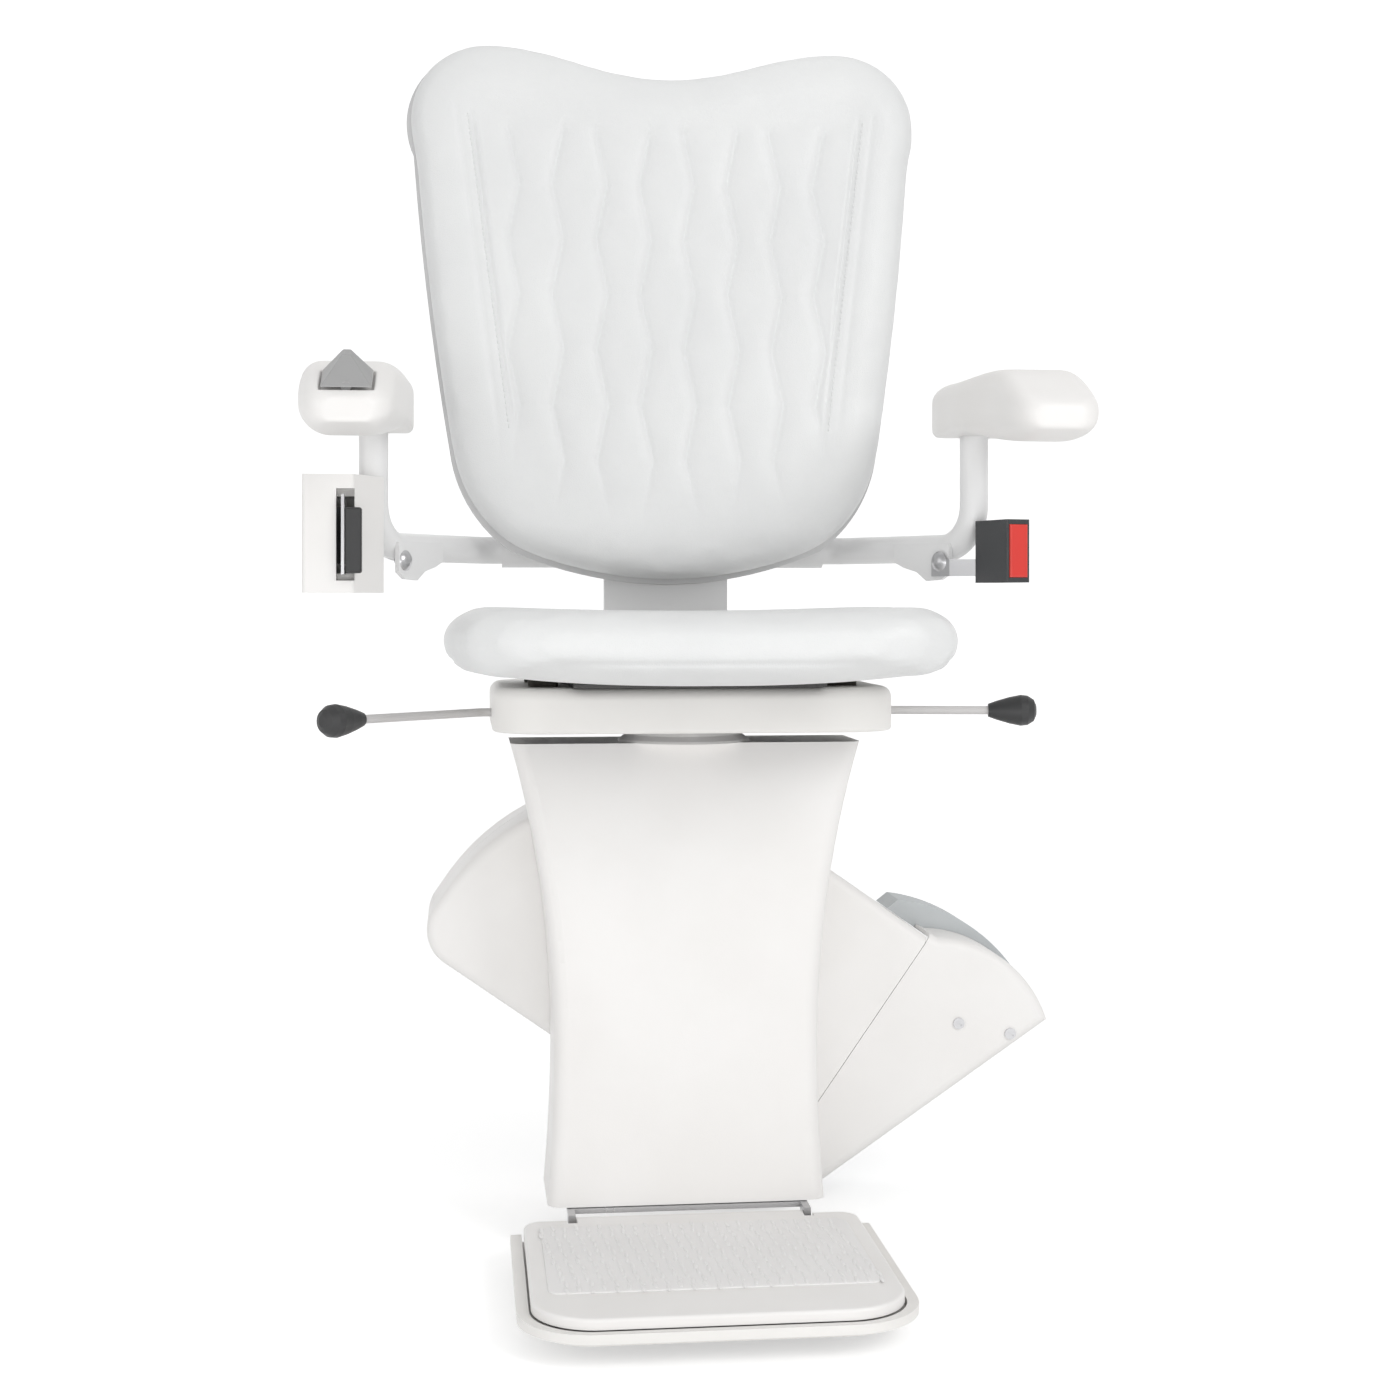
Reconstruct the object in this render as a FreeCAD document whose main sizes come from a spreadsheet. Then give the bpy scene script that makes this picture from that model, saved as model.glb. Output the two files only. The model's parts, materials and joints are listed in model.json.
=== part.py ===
import FreeCAD, Part
import Sketcher
import math
import os

# Stairlift chair: a padded seat on a tapering column, carried by a sloped carriage
# that rides on a stair rail. The origin is the rail's centre under the column.
# X runs to the right seen from the front, Y away from the front, Z up. Millimetres.

Vector = FreeCAD.Vector
DOC = FreeCAD.newDocument("StairliftChair")
SHEET = DOC.addObject("Spreadsheet::Sheet", "Sizes")
NODES = []
COUNT = [0]


# Driving sizes, each written once

SIZES = [
    ("slope", 35, "slope of the rail, degrees"),
    ("rail_half_height", 35, "half the rail's height, across the slope"),
    ("rail_gap", 35, "from the rail's centre to the chassis plate's front"),
    ("chassis_thick", 6, "chassis plate"),
    ("carriage_depth", 110, "inside depth of the carriage covers"),
    ("carriage_half", 128.5, "half the carriage's height, across the slope"),
    ("upper_end", 192, "rail centre to the carriage's upper end"),
    ("upper_round", 204, "radius of the upper round corner"),
    ("lower_end", 317, "rail centre to the lower end at its top"),
    ("lower_foot", 218, "rail centre to the lower end at its bottom"),
    ("seam", 184, "rail centre to the seam of the end cap"),
    ("hump", 23, "rise of the end cap above the cover"),
    ("cover_wall", 3, "wall of the plastic covers"),
    ("edge_depth", 52, "depth of the safety edges"),
    ("edge_wall", 12, "thickness of the safety edges"),
    ("edge_travel", 5, "travel of a safety edge"),
    ("fit_gap", 0.5, "gap between covers"),
    ("roller_radius", 17, "rail roller"),
    ("roller_width", 26, "rail roller"),
    ("roller_span", 155, "rollers from the rail's middle, along the slope"),
    ("upper_roller_span", 105, "upper roller at the round end"),
    ("axle_radius", 5, "roller axles"),
    ("run_gap", 0.05, "running clearance of a shaft"),
    ("pinion_radius", 24, "drive pinion over its teeth"),
    ("pinion_along", 95, "pinion from the rail's middle, up the slope"),
    ("pinion_width", 20, "drive pinion"),
    ("tooth_depth", 5, "pinion tooth"),
    ("shaft_radius", 7, "pinion shaft"),
    ("column_front", 235, "rail centre to the column's front"),
    ("column_top", 181, "top of the column cover"),
    ("column_foot", -203, "bottom of the column cover"),
    ("top_half", 147, "half width of the column's top"),
    ("waist_half", 110.8, "half width of the column's waist"),
    ("waist_level", -75, "height of the waist"),
    ("foot_half", 116.5, "half width of the column's foot"),
    ("frame_half", 40, "half width of the column frame"),
    ("frame_depth", 60, "depth of the column frame"),
    ("frame_wall", 4, "wall of the column frame"),
    ("frame_setback", 10, "column frame behind the column's front"),
    ("bracket_half", 32, "half width of the bracket to the chassis"),
    ("swivel_setback", 35, "swivel axis behind the column's front"),
    ("post_radius", 26, "swivel post"),
    ("collar_radius", 48, "collar under the seat base"),
    ("collar_flare", 56, "foot of the collar"),
    ("base_bottom", 194, "underside of the base housing"),
    ("base_height", 36, "height of the base housing"),
    ("base_half", 163, "half width of the base housing"),
    ("base_front", 85, "base housing in front of the column's front"),
    ("base_depth", 235, "depth of the base housing"),
    ("base_corner", 45, "corner radius of the base housing"),
    ("index_thick", 3.9, "index plate"),
    ("index_radius", 62, "index plate"),
    ("latch_reach", 50, "latch pin from the swivel axis"),
    ("latch_radius", 5, "latch pin"),
    ("swivel_thick", 5, "swivel plate"),
    ("swivel_half", 140, "half width of the swivel plate"),
    ("swivel_turn", 90, "largest swivel each way, degrees"),
    ("upright_half", 57, "half width of the upright"),
    ("upright_thick", 10, "upright"),
    ("upright_setback", 189, "upright behind the column's front"),
    ("upright_top", 600, "top of the upright"),
    ("back_lean", 5, "lean of the backrest, degrees"),
    ("back_bottom", 313, "lowest point of the backrest"),
    ("back_peak", 500, "height of the backrest's lobes above its bottom"),
    ("back_dip", 28, "dip between the lobes"),
    ("back_half", 234, "half width of the backrest"),
    ("back_thick", 44, "backrest cushion at its rim"),
    ("shell_thick", 5, "backrest shell"),
    ("shell_inset", 1, "shell's outline inside the cushion's"),
    ("panel_drop", 6, "sewn panel below the rim"),
    ("stitch_lines", 8, "zigzag lines of the sewn panel"),
    ("stitch_pitch", 40, "distance between the zigzag lines"),
    ("stitch_swing", 5, "swing of a zigzag line"),
    ("stitch_step", 51, "height of one zigzag leg"),
    ("stitch_width", 4, "width of a sewn channel"),
    ("stitch_depth", 2.4, "depth of a sewn channel"),
    ("seat_half", 210, "half width of the seat cushion"),
    ("seat_front", 215, "seat cushion in front of the column's front"),
    ("seat_rear", 109, "rear of the seat cushion behind the column's front"),
    ("seat_top", 292, "top of the seat cushion"),
    ("seat_dish", 4, "dish of the seat cushion"),
    ("pan_thick", 3, "seat pan"),
    ("pan_lift", 1, "gap under the seat pan"),
    ("pan_half", 100, "half width of the seat pan"),
    ("soft_gap", 0.3, "clearance of a soft piece"),
    ("hinge_setback", 125, "seat hinge behind the column's front"),
    ("hinge_level", 266, "height of the seat hinge"),
    ("hinge_radius", 5, "seat hinge pin"),
    ("knuckle_radius", 10, "knuckles of the seat hinge"),
    ("buffer_size", 24, "rubber buffers"),
    ("buffer_reach", 122, "buffers from the middle"),
    ("lever_level", 207.5, "height of the lever rods"),
    ("lever_pivot", 130, "lever pivots from the middle"),
    ("lever_radius", 3.5, "lever rods"),
    ("lever_inner", 88, "inner ends of the levers"),
    ("left_reach", 264, "left knob's root from the middle"),
    ("left_sweep", 92, "left knob's root in front of the lever's line"),
    ("right_reach", 252, "right knob's root from the middle"),
    ("right_sweep", 14, "right knob's root in front of the lever's line"),
    ("knob_radius", 13, "lever knobs"),
    ("knob_length", 40, "lever knobs"),
    ("latch_travel", 5.5, "travel of the latch pin"),
    ("arm_reach", 262, "arm tubes from the middle"),
    ("arm_setback", 75, "arm legs behind the column's front"),
    ("arm_level", 346, "height of the arms' level run"),
    ("arm_radius", 12.5, "arm tubes"),
    ("arm_bend", 30, "inner bend of the arm tubes"),
    ("elbow_bend", 38, "elbow of the arm tubes"),
    ("pivot_half", 150, "half length of the arms' pivot tube"),
    ("pivot_wall", 3.4, "wall of the pivot tube"),
    ("arm_inner", 62, "inner ends of the arm tubes"),
    ("pad_top", 488, "top of the arm pads"),
    ("pad_under", 444, "underside of the arm pads at the leg"),
    ("pad_nose", 426, "underside of the pads' noses"),
    ("pad_inner", 229, "arm pads' inner side from the middle"),
    ("pad_outer", 311, "arm pads' outer side from the middle"),
    ("pad_front", 165, "pads' noses in front of the column's front"),
    ("pad_rear", 105, "pads' rear behind the column's front"),
    ("gusset_thick", 4, "gussets under the arm tubes"),
    ("bolt_radius", 9, "dome heads of the belt bolts"),
    ("box_out", 56, "retractor box's outer side from the arm tube's middle"),
    ("box_corner", 14, "retractor box's front corner from the arm tube's middle"),
    ("box_in", 9, "retractor box's inner side from the arm tube's middle"),
    ("box_front", 12, "retractor box behind the column's front"),
    ("box_depth", 54, "depth of the retractor box"),
    ("box_bottom", 306, "underside of the retractor box"),
    ("box_height", 98, "height of the retractor box"),
    ("slot_half", 38, "half height of the belt slot"),
    ("web_half", 23.5, "half width of the webbing"),
    ("web_thick", 1.4, "webbing"),
    ("web_travel", 30, "shown pull of the belt"),
    ("spool_gap", 2.7, "wound belt from the retractor box's outer wall"),
    ("box_wall", 3, "outer wall of the retractor box"),
    ("buckle_width", 22, "buckle"),
    ("buckle_length", 56, "buckle"),
    ("buckle_height", 54, "buckle"),
    ("buckle_turn", 17, "turn of the buckle, degrees"),
    ("button_travel", 4, "travel of the red button"),
    ("tab_thick", 2.5, "steel tab of the buckle"),
    ("rocker_half", 19, "half width of the direction rocker"),
    ("rocker_rise", 20, "height of the direction rocker"),
    ("plate_top", -207, "top of the footrest plate"),
    ("plate_thick", 8, "footrest plate"),
    ("plate_half", 137.5, "half width of the footrest plate"),
    ("plate_reach", 260, "footrest plate in front of the column"),
    ("plate_corner", 48, "front corner radius of the footrest plate"),
    ("foot_axis_reach", 14, "footrest hinge in front of the column"),
    ("foot_axis_drop", 6, "footrest hinge below the plate's top"),
    ("barrel_radius", 6, "footrest hinge barrel"),
    ("barrel_half", 94, "half length of the hinge barrel"),
    ("pin_radius", 3, "footrest hinge pin"),
    ("rim_half", 148, "half width of the safety pan"),
    ("pan_depth", 13, "height of the safety pan"),
    ("pan_gap", 1.5, "gap between the plate and the safety pan"),
    ("pan_travel", 4, "travel of the safety pan"),
    ("mat_thick", 1.2, "tread mat"),
]


class Size:
    """A number together with the sheet expression that gives it."""

    def __init__(self, value, text):
        self.value = float(value)
        self.text = text

    def __float__(self):
        return self.value

    def __add__(self, other):
        other = as_size(other)
        return Size(self.value + other.value, "(%s + %s)" % (self.text, other.text))

    def __sub__(self, other):
        other = as_size(other)
        return Size(self.value - other.value, "(%s - %s)" % (self.text, other.text))

    def __mul__(self, other):
        other = as_size(other)
        return Size(self.value * other.value, "(%s * %s)" % (self.text, other.text))

    def __truediv__(self, other):
        other = as_size(other)
        return Size(self.value / other.value, "(%s / %s)" % (self.text, other.text))

    def __neg__(self):
        return Size(-self.value, "(0 - %s)" % self.text)

    def __radd__(self, other):
        return as_size(other) + self

    def __rsub__(self, other):
        return as_size(other) - self

    def __rmul__(self, other):
        return as_size(other) * self


def as_size(thing):
    if isinstance(thing, Size):
        return thing
    return Size(thing, "(%s)" % repr(float(thing)))


class Sizes:
    """The sheet's aliases as attributes."""


S = Sizes()
for row, (alias, number, note) in enumerate(SIZES, start=1):
    SHEET.set("A%d" % row, note)
    SHEET.set("B%d" % row, str(number))
    SHEET.setAlias("B%d" % row, alias)
DOC.recompute()
for alias, number, note in SIZES:
    setattr(S, alias, Size(SHEET.get(alias), "Sizes." + alias))


# Shared helpers

def fresh(kind, stem):
    COUNT[0] += 1
    return DOC.addObject(kind, "%s_%d" % (stem, COUNT[0]))


def bind(thing, path, size):
    thing.setExpression(path, as_size(size).text)


def put(thing, x, y, z):
    for axis, size in zip("xyz", (x, y, z)):
        bind(thing, "Placement.Base." + axis, size)
    return thing


def box(x, y, z):
    """A block between two bounds on each axis."""
    block = fresh("Part::Box", "block")
    for name, (low, high) in zip(("Length", "Width", "Height"), (x, y, z)):
        bind(block, name, as_size(high) - as_size(low))
    return put(block, x[0], y[0], z[0])


TURN_TO = {
    "X": FreeCAD.Rotation(Vector(0, 1, 0), 90),
    "Y": FreeCAD.Rotation(Vector(1, 0, 0), -90),
    "Z": FreeCAD.Rotation(),
}


def rod(radius, start, length, axis="Z"):
    """A cylinder from a start point along an axis."""
    bar = fresh("Part::Cylinder", "rod")
    bind(bar, "Radius", radius)
    bind(bar, "Height", length)
    bar.Placement = FreeCAD.Placement(Vector(), TURN_TO[axis])
    return put(bar, *start)


def cut(base, *tools):
    shape = base
    for tool in tools:
        piece = fresh("Part::Cut", "cut")
        piece.Base = shape
        piece.Tool = tool
        shape = piece
    return shape


def fuse(*parts):
    whole = fresh("Part::MultiFuse", "join")
    whole.Shapes = list(parts)
    whole.Refine = True
    return whole


def feature(shape):
    piece = fresh("Part::Feature", "form")
    piece.Shape = shape
    return piece


def rounded(base, radius, chosen):
    """Rounds the edges of base that the test picks."""
    DOC.recompute()
    edges = [
        (number, float(radius), float(radius))
        for number, edge in enumerate(base.Shape.Edges, start=1)
        if chosen(edge)
    ]
    piece = fresh("Part::Fillet", "round")
    piece.Base = base
    piece.Edges = edges
    return piece


def upright_edge(edge):
    return runs_along(edge, Vector(0, 0, 1))


def runs_along(edge, direction):
    ends = [vertex.Point for vertex in edge.Vertexes]
    if len(ends) < 2:
        return False
    span = ends[1] - ends[0]
    return abs(span.dot(direction)) > 0.999 * span.Length and span.Length > 0.01


def node(name, *pieces, tilt=False):
    """A named sub-part; tilted ones lie along the rail."""
    group = DOC.addObject("Part::Compound", name)
    group.Label = name
    group.Links = list(pieces)
    if tilt:
        group.Placement = FreeCAD.Placement(Vector(), Vector(0, 1, 0), float(S.slope))
        bind(group, "Placement.Rotation.Angle", S.slope)
    NODES.append(group)
    return group


def plane_of(body, role):
    for item in body.Origin.OriginFeatures:
        if item.Role == role:
            return item
    raise ValueError("no plane " + role)


def sketched(body, role, outline):
    """A closed outline whose corners are tied to the sheet."""
    sketch = body.newObject("Sketcher::SketchObject", "outline_%d" % len(DOC.Objects))
    sketch.AttachmentSupport = [(plane_of(body, role), "")]
    sketch.MapMode = "FlatFace"
    corners = [(as_size(a), as_size(b)) for a, b in outline]
    total = len(corners)
    for index in range(total):
        a, b = corners[index], corners[(index + 1) % total]
        sketch.addGeometry(
            Part.LineSegment(Vector(float(a[0]), float(a[1])), Vector(float(b[0]), float(b[1]))),
            False,
        )
    for index in range(total):
        sketch.addConstraint(
            Sketcher.Constraint("Coincident", index, 2, (index + 1) % total, 1)
        )
    for index, corner in enumerate(corners):
        for kind, size in zip(("DistanceX", "DistanceY"), corner):
            place = sketch.addConstraint(
                Sketcher.Constraint(kind, -1, 1, index, 1, float(size))
            )
            sketch.setExpression("Constraints[%d]" % place, size.text)
    return sketch


def padded_body(role, outline, length, both_ways=False):
    body = fresh("PartDesign::Body", "body")
    sketch = sketched(body, role, outline)
    pad = body.newObject("PartDesign::Pad", "pad_%d" % len(DOC.Objects))
    pad.Profile = sketch
    bind(pad, "Length", length)
    pad.Midplane = both_ways
    return body


def turned_body(outline):
    """A turned piece: the outline's first value is the radius, its second the height."""
    body = fresh("PartDesign::Body", "body")
    sketch = sketched(body, "XZ_Plane", outline)
    turned = body.newObject("PartDesign::Revolution", "turned_%d" % len(DOC.Objects))
    turned.Profile = sketch
    turned.ReferenceAxis = (sketch, ["V_Axis"])
    turned.Angle = 360
    return body


def wire_of(*edges):
    return Part.Wire([edge.toShape() for edge in edges])


def line(a, b):
    return Part.LineSegment(Vector(*a), Vector(*b))


def arc(a, b, c):
    return Part.Arc(Vector(*a), Vector(*b), Vector(*c))


def lofted(wires, ruled=False):
    return Part.makeLoft(wires, True, ruled)


def polygon(points):
    corners = [Vector(*point) for point in points]
    return Part.Wire(Part.makePolygon(corners + [corners[0]]))


def pipe(points, radius, bends):
    """A round tube along straight runs joined by tangent arcs."""
    knots = [Vector(*point) for point in points]
    edges = []
    start = knots[0]
    for index, bend in enumerate(bends, start=1):
        before = (knots[index] - knots[index - 1]).normalize()
        after = (knots[index + 1] - knots[index]).normalize()
        turn = before.getAngle(after)
        reach = bend * math.tan(turn / 2)
        first = knots[index] - before * reach
        last = knots[index] + after * reach
        inward = (after - before).normalize()
        middle = knots[index] + inward * (bend / math.cos(turn / 2) - bend)
        edges.append(Part.LineSegment(start, first).toShape())
        edges.append(Part.Arc(first, middle, last).toShape())
        start = last
    edges.append(Part.LineSegment(start, knots[-1]).toShape())
    ring = Part.Wire(Part.makeCircle(radius, knots[0], (knots[1] - knots[0]).normalize()))
    return Part.Wire(edges).makePipeShell([ring], True, False)


# Places worked out from the driving sizes

PLATE_Y = -S.rail_gap
FACE_Y = PLATE_Y - S.carriage_depth
FRONT_Y = -S.column_front
COLUMN_BACK = FACE_Y - S.fit_gap
AXIS_Y = FRONT_Y + S.swivel_setback
BASE_TOP = S.base_bottom + S.base_height
SWIVEL_BOTTOM = S.base_bottom + 0.5 + S.index_thick + 0.1
SWIVEL_TOP = SWIVEL_BOTTOM + S.swivel_thick
UPRIGHT_Y = FRONT_Y + S.upright_setback
HINGE_Y = FRONT_Y + S.hinge_setback
LEVER_Y = FRONT_Y
PAN_Z = BASE_TOP + S.pan_lift
ARM_Y = (
    UPRIGHT_Y
    + S.upright_thick
    + (S.arm_level - S.back_bottom) * math.tan(math.radians(float(S.back_lean)))
    + S.arm_radius
    + S.run_gap
    + S.pivot_wall
    + 0.3
)
FOOT_AXIS_Y = FRONT_Y - S.foot_axis_reach
FOOT_AXIS_Z = S.plate_top - S.foot_axis_drop


# Carriage: built along the rail, then tilted by the slope

def prism(wire, depth):
    return Part.Face(wire).extrude(Vector(0, float(depth), 0))


def round_front(solid, y, radius):
    """Rounds the outer edges that lie in the plane at y."""
    edges = [
        edge
        for edge in solid.Edges
        if all(abs(edge.valueAt(at).y - y) < 0.01 for at in edge.ParameterRange)
    ]
    return solid.makeFillet(radius, edges)


def cover_wire(y, inset, right_top, right_foot):
    """The main cover's outline with its large round upper corner."""
    left, half, big = float(-S.upper_end), float(S.carriage_half), float(S.upper_round)
    small = half * 0.27
    middle = (left + big, half - big)
    bend = (big - inset) / math.sqrt(2)
    nook = (left + small, small - half)
    dip = (small - inset) / math.sqrt(2)
    return wire_of(
        arc(
            (left + inset, y, middle[1]),
            (middle[0] - bend, y, middle[1] + bend),
            (middle[0], y, half - inset),
        ),
        line((middle[0], y, half - inset), (right_top, y, half - inset)),
        line((right_top, y, half - inset), (right_foot, y, inset - half)),
        line((right_foot, y, inset - half), (nook[0], y, inset - half)),
        arc(
            (nook[0], y, inset - half),
            (nook[0] - dip, y, nook[1] - dip),
            (left + inset, y, nook[1]),
        ),
        line((left + inset, y, nook[1]), (left + inset, y, middle[1])),
    )


def end_line(z):
    """Where the slanted lower end stands at a height across the slope."""
    half = float(S.carriage_half)
    share = (z + half) / (2 * half)
    return float(S.lower_foot) + (float(S.lower_end) - float(S.lower_foot)) * share


def cap_wire(y, inset, left):
    """The end cap's outline, humped over the cover's top edge."""
    half, seam = float(S.carriage_half), float(S.seam)
    rise, top = float(S.hump), float(S.lower_end)
    start = (max(left, seam) + 8 + inset, y, half + 5 - inset)
    crest = ((seam + top) / 2 + 2, y, half + rise - inset)
    tip = (end_line(half) - 1.3 * inset, y, half + 1 - inset)
    return wire_of(
        line((left, y, half - inset), start),
        arc(start, crest, tip),
        line(tip, (end_line(inset - half) - 1.1 * inset, y, inset - half)),
        line(
            (end_line(inset - half) - 1.1 * inset, y, inset - half),
            (left, y, inset - half),
        ),
        line((left, y, inset - half), (left, y, half - inset)),
    )


def untilted_block(x, y, z):
    """A level block seen from the carriage's own tilted frame."""
    block = Part.makeBox(
        float(x[1]) - float(x[0]),
        float(y[1]) - float(y[0]),
        float(z[1]) - float(z[0]),
        Vector(float(x[0]), float(y[0]), float(z[0])),
    )
    block.rotate(Vector(), Vector(0, 1, 0), -float(S.slope))
    return block


def solid_block(x0, x1, y0, y1, z0, z1):
    return Part.makeBox(x1 - x0, y1 - y0, z1 - z0, Vector(x0, y0, z0))


PILLARS = {
    "cap_top": (S.lower_end - 67, S.carriage_half - 46.5),
    "cap_foot": (S.seam + 20, 28.5 - S.carriage_half),
    "cover_top": (-S.upper_end + 132, S.carriage_half - 43.5),
    "cover_foot": (-S.upper_end + 42, 23.5 - S.carriage_half),
}
EDGE_FRONT = PLATE_Y + S.chassis_thick - S.edge_depth
FACE_ROUND = 9
FAR = 600


def make_main_cover():
    y, wall, seam = float(FACE_Y), float(S.cover_wall), float(S.seam)
    depth = float(S.carriage_depth + S.chassis_thick)
    gap = float(S.fit_gap)
    outer = prism(cover_wire(y, 0, seam + 30, seam + 30), depth)
    outer = round_front(outer, y, FACE_ROUND)
    inner = prism(cover_wire(y + wall, wall, seam + 40, seam + 40), depth)
    inner = round_front(inner, y + wall, FACE_ROUND - wall)
    shell = outer.cut(inner)
    shell = shell.cut(solid_block(seam, FAR, y - 1, y + depth + 1, -FAR, FAR))
    shell = shell.cut(
        untilted_block(
            (-S.bracket_half - gap, S.bracket_half + gap),
            (FACE_Y - 1, FACE_Y + wall + 1),
            (-S.bracket_half * 1.3 - gap, S.bracket_half * 1.3 + gap),
        )
    )
    shell = shell.cut(
        solid_block(
            -FAR,
            float(-S.upper_end + 122 + S.edge_travel) + gap,
            float(EDGE_FRONT) - gap,
            FAR,
            33 - float(S.carriage_half) - gap,
            FAR,
        )
    )
    node("main_cover", feature(shell), tilt=True)


def make_lower_end_cap():
    y, wall, seam = float(FACE_Y), float(S.cover_wall), float(S.seam)
    gap = float(S.fit_gap)
    depth = float(EDGE_FRONT - S.fit_gap - FACE_Y)
    outer = round_front(prism(cap_wire(y, 0, seam - 30), depth), y, FACE_ROUND)
    inner = prism(cap_wire(y + wall, wall, seam - 40), depth)
    inner = round_front(inner, y + wall, FACE_ROUND - wall)
    shell = outer.cut(inner)
    shell = shell.cut(solid_block(-FAR, seam + gap, y - 1, y + depth + 1, -FAR, FAR))
    for x, z in SCREWS:
        hole = Part.makeCylinder(SCREW_RADIUS, wall + 2, Vector(x, y - 1, z), Vector(0, 1, 0))
        shell = shell.cut(hole)
    node("lower_end_cap", feature(shell), tilt=True)


SCREW_RADIUS = 2.5
SCREWS = [
    tuple(float(size) for size in PILLARS["cap_top"]),
    (end_line(float(S.carriage_half) - 28) - 12, float(S.carriage_half) - 28),
]


def make_cover_screws():
    y, wall = float(FACE_Y), float(S.cover_wall)
    screws = []
    for x, z in SCREWS:
        shank = Part.makeCylinder(SCREW_RADIUS, wall + 5, Vector(x, y, z), Vector(0, 1, 0))
        head = Part.makeCylinder(5, 1.6, Vector(x, y - 1.6, z), Vector(0, 1, 0))
        cross = solid_block(x - 3, x + 3, y - 1.7, y - 0.7, z - 0.6, z + 0.6)
        screws.append(feature(shank.fuse(head).cut(cross)))
    node("cover_screws", *screws, tilt=True)


def make_chassis_plate():
    inset = float(S.edge_wall + S.edge_travel + 3)
    half = float(S.carriage_half)
    right_top = end_line(half) - 30
    right_foot = end_line(-half) - 28
    plate = prism(cover_wire(float(PLATE_Y), inset, right_top, right_foot), S.chassis_thick)
    for x, z in ROLLERS:
        plate = plate.cut(y_rod(S.axle_radius, x, PLATE_Y - 1, z, S.chassis_thick + 2))
    plate = plate.cut(
        y_rod(S.shaft_radius + 0.5, PINION_X, PLATE_Y - 1, PINION_Z, S.chassis_thick + 2)
    )
    length = S.carriage_depth - S.cover_wall
    for name, (x, z) in PILLARS.items():
        pillar = y_rod(6, x, PLATE_Y - length, z, length)
        if name == "cap_top":
            pillar = pillar.cut(y_rod(SCREW_RADIUS, x, PLATE_Y - length - 1, z, 7))
        plate = plate.fuse(pillar)
    node("chassis_plate", feature(plate.removeSplitter()), tilt=True)


def y_rod(radius, x, y, z, length):
    base = Vector(float(x), float(y), float(z))
    return Part.makeCylinder(float(radius), float(length), base, Vector(0, 1, 0))


ROLLER_Z = S.rail_half_height + S.roller_radius
ROLLERS = [
    (-S.upper_roller_span, ROLLER_Z),
    (-S.roller_span, -ROLLER_Z),
    (S.roller_span, ROLLER_Z),
    (S.roller_span, -ROLLER_Z),
]
PINION_X = -S.pinion_along
PINION_Z = -(S.rail_half_height + S.pinion_radius)
REAR_Y = PLATE_Y + S.chassis_thick


def make_rollers():
    """Four rollers that hug the rail, each a turned body on its own axle."""
    axles = []
    for number, (x, z) in enumerate(ROLLERS, start=1):
        start = REAR_Y + 3
        end = start + S.roller_width
        bore = S.axle_radius + S.run_gap
        roller = turned_body(
            [
                (bore, 0),
                (S.roller_radius - 2, 0),
                (S.roller_radius, 2),
                (S.roller_radius, S.roller_width - 2),
                (S.roller_radius - 2, S.roller_width),
                (bore, S.roller_width),
            ]
        )
        roller.Placement = FreeCAD.Placement(Vector(), TURN_TO["Y"])
        put(roller, x, start, z)
        node("rail_roller_%d" % number, roller, tilt=True)
        axle = rod(S.axle_radius, (x, PLATE_Y, z), end + 1 - PLATE_Y, "Y")
        collar = rod(S.axle_radius + 3, (x, REAR_Y, z), 2.9, "Y")
        washer = rod(S.axle_radius + 4, (x, end + 0.1, z), 3, "Y")
        axles.append(fuse(axle, collar, washer))
    node("roller_axles", *axles, tilt=True)


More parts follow.
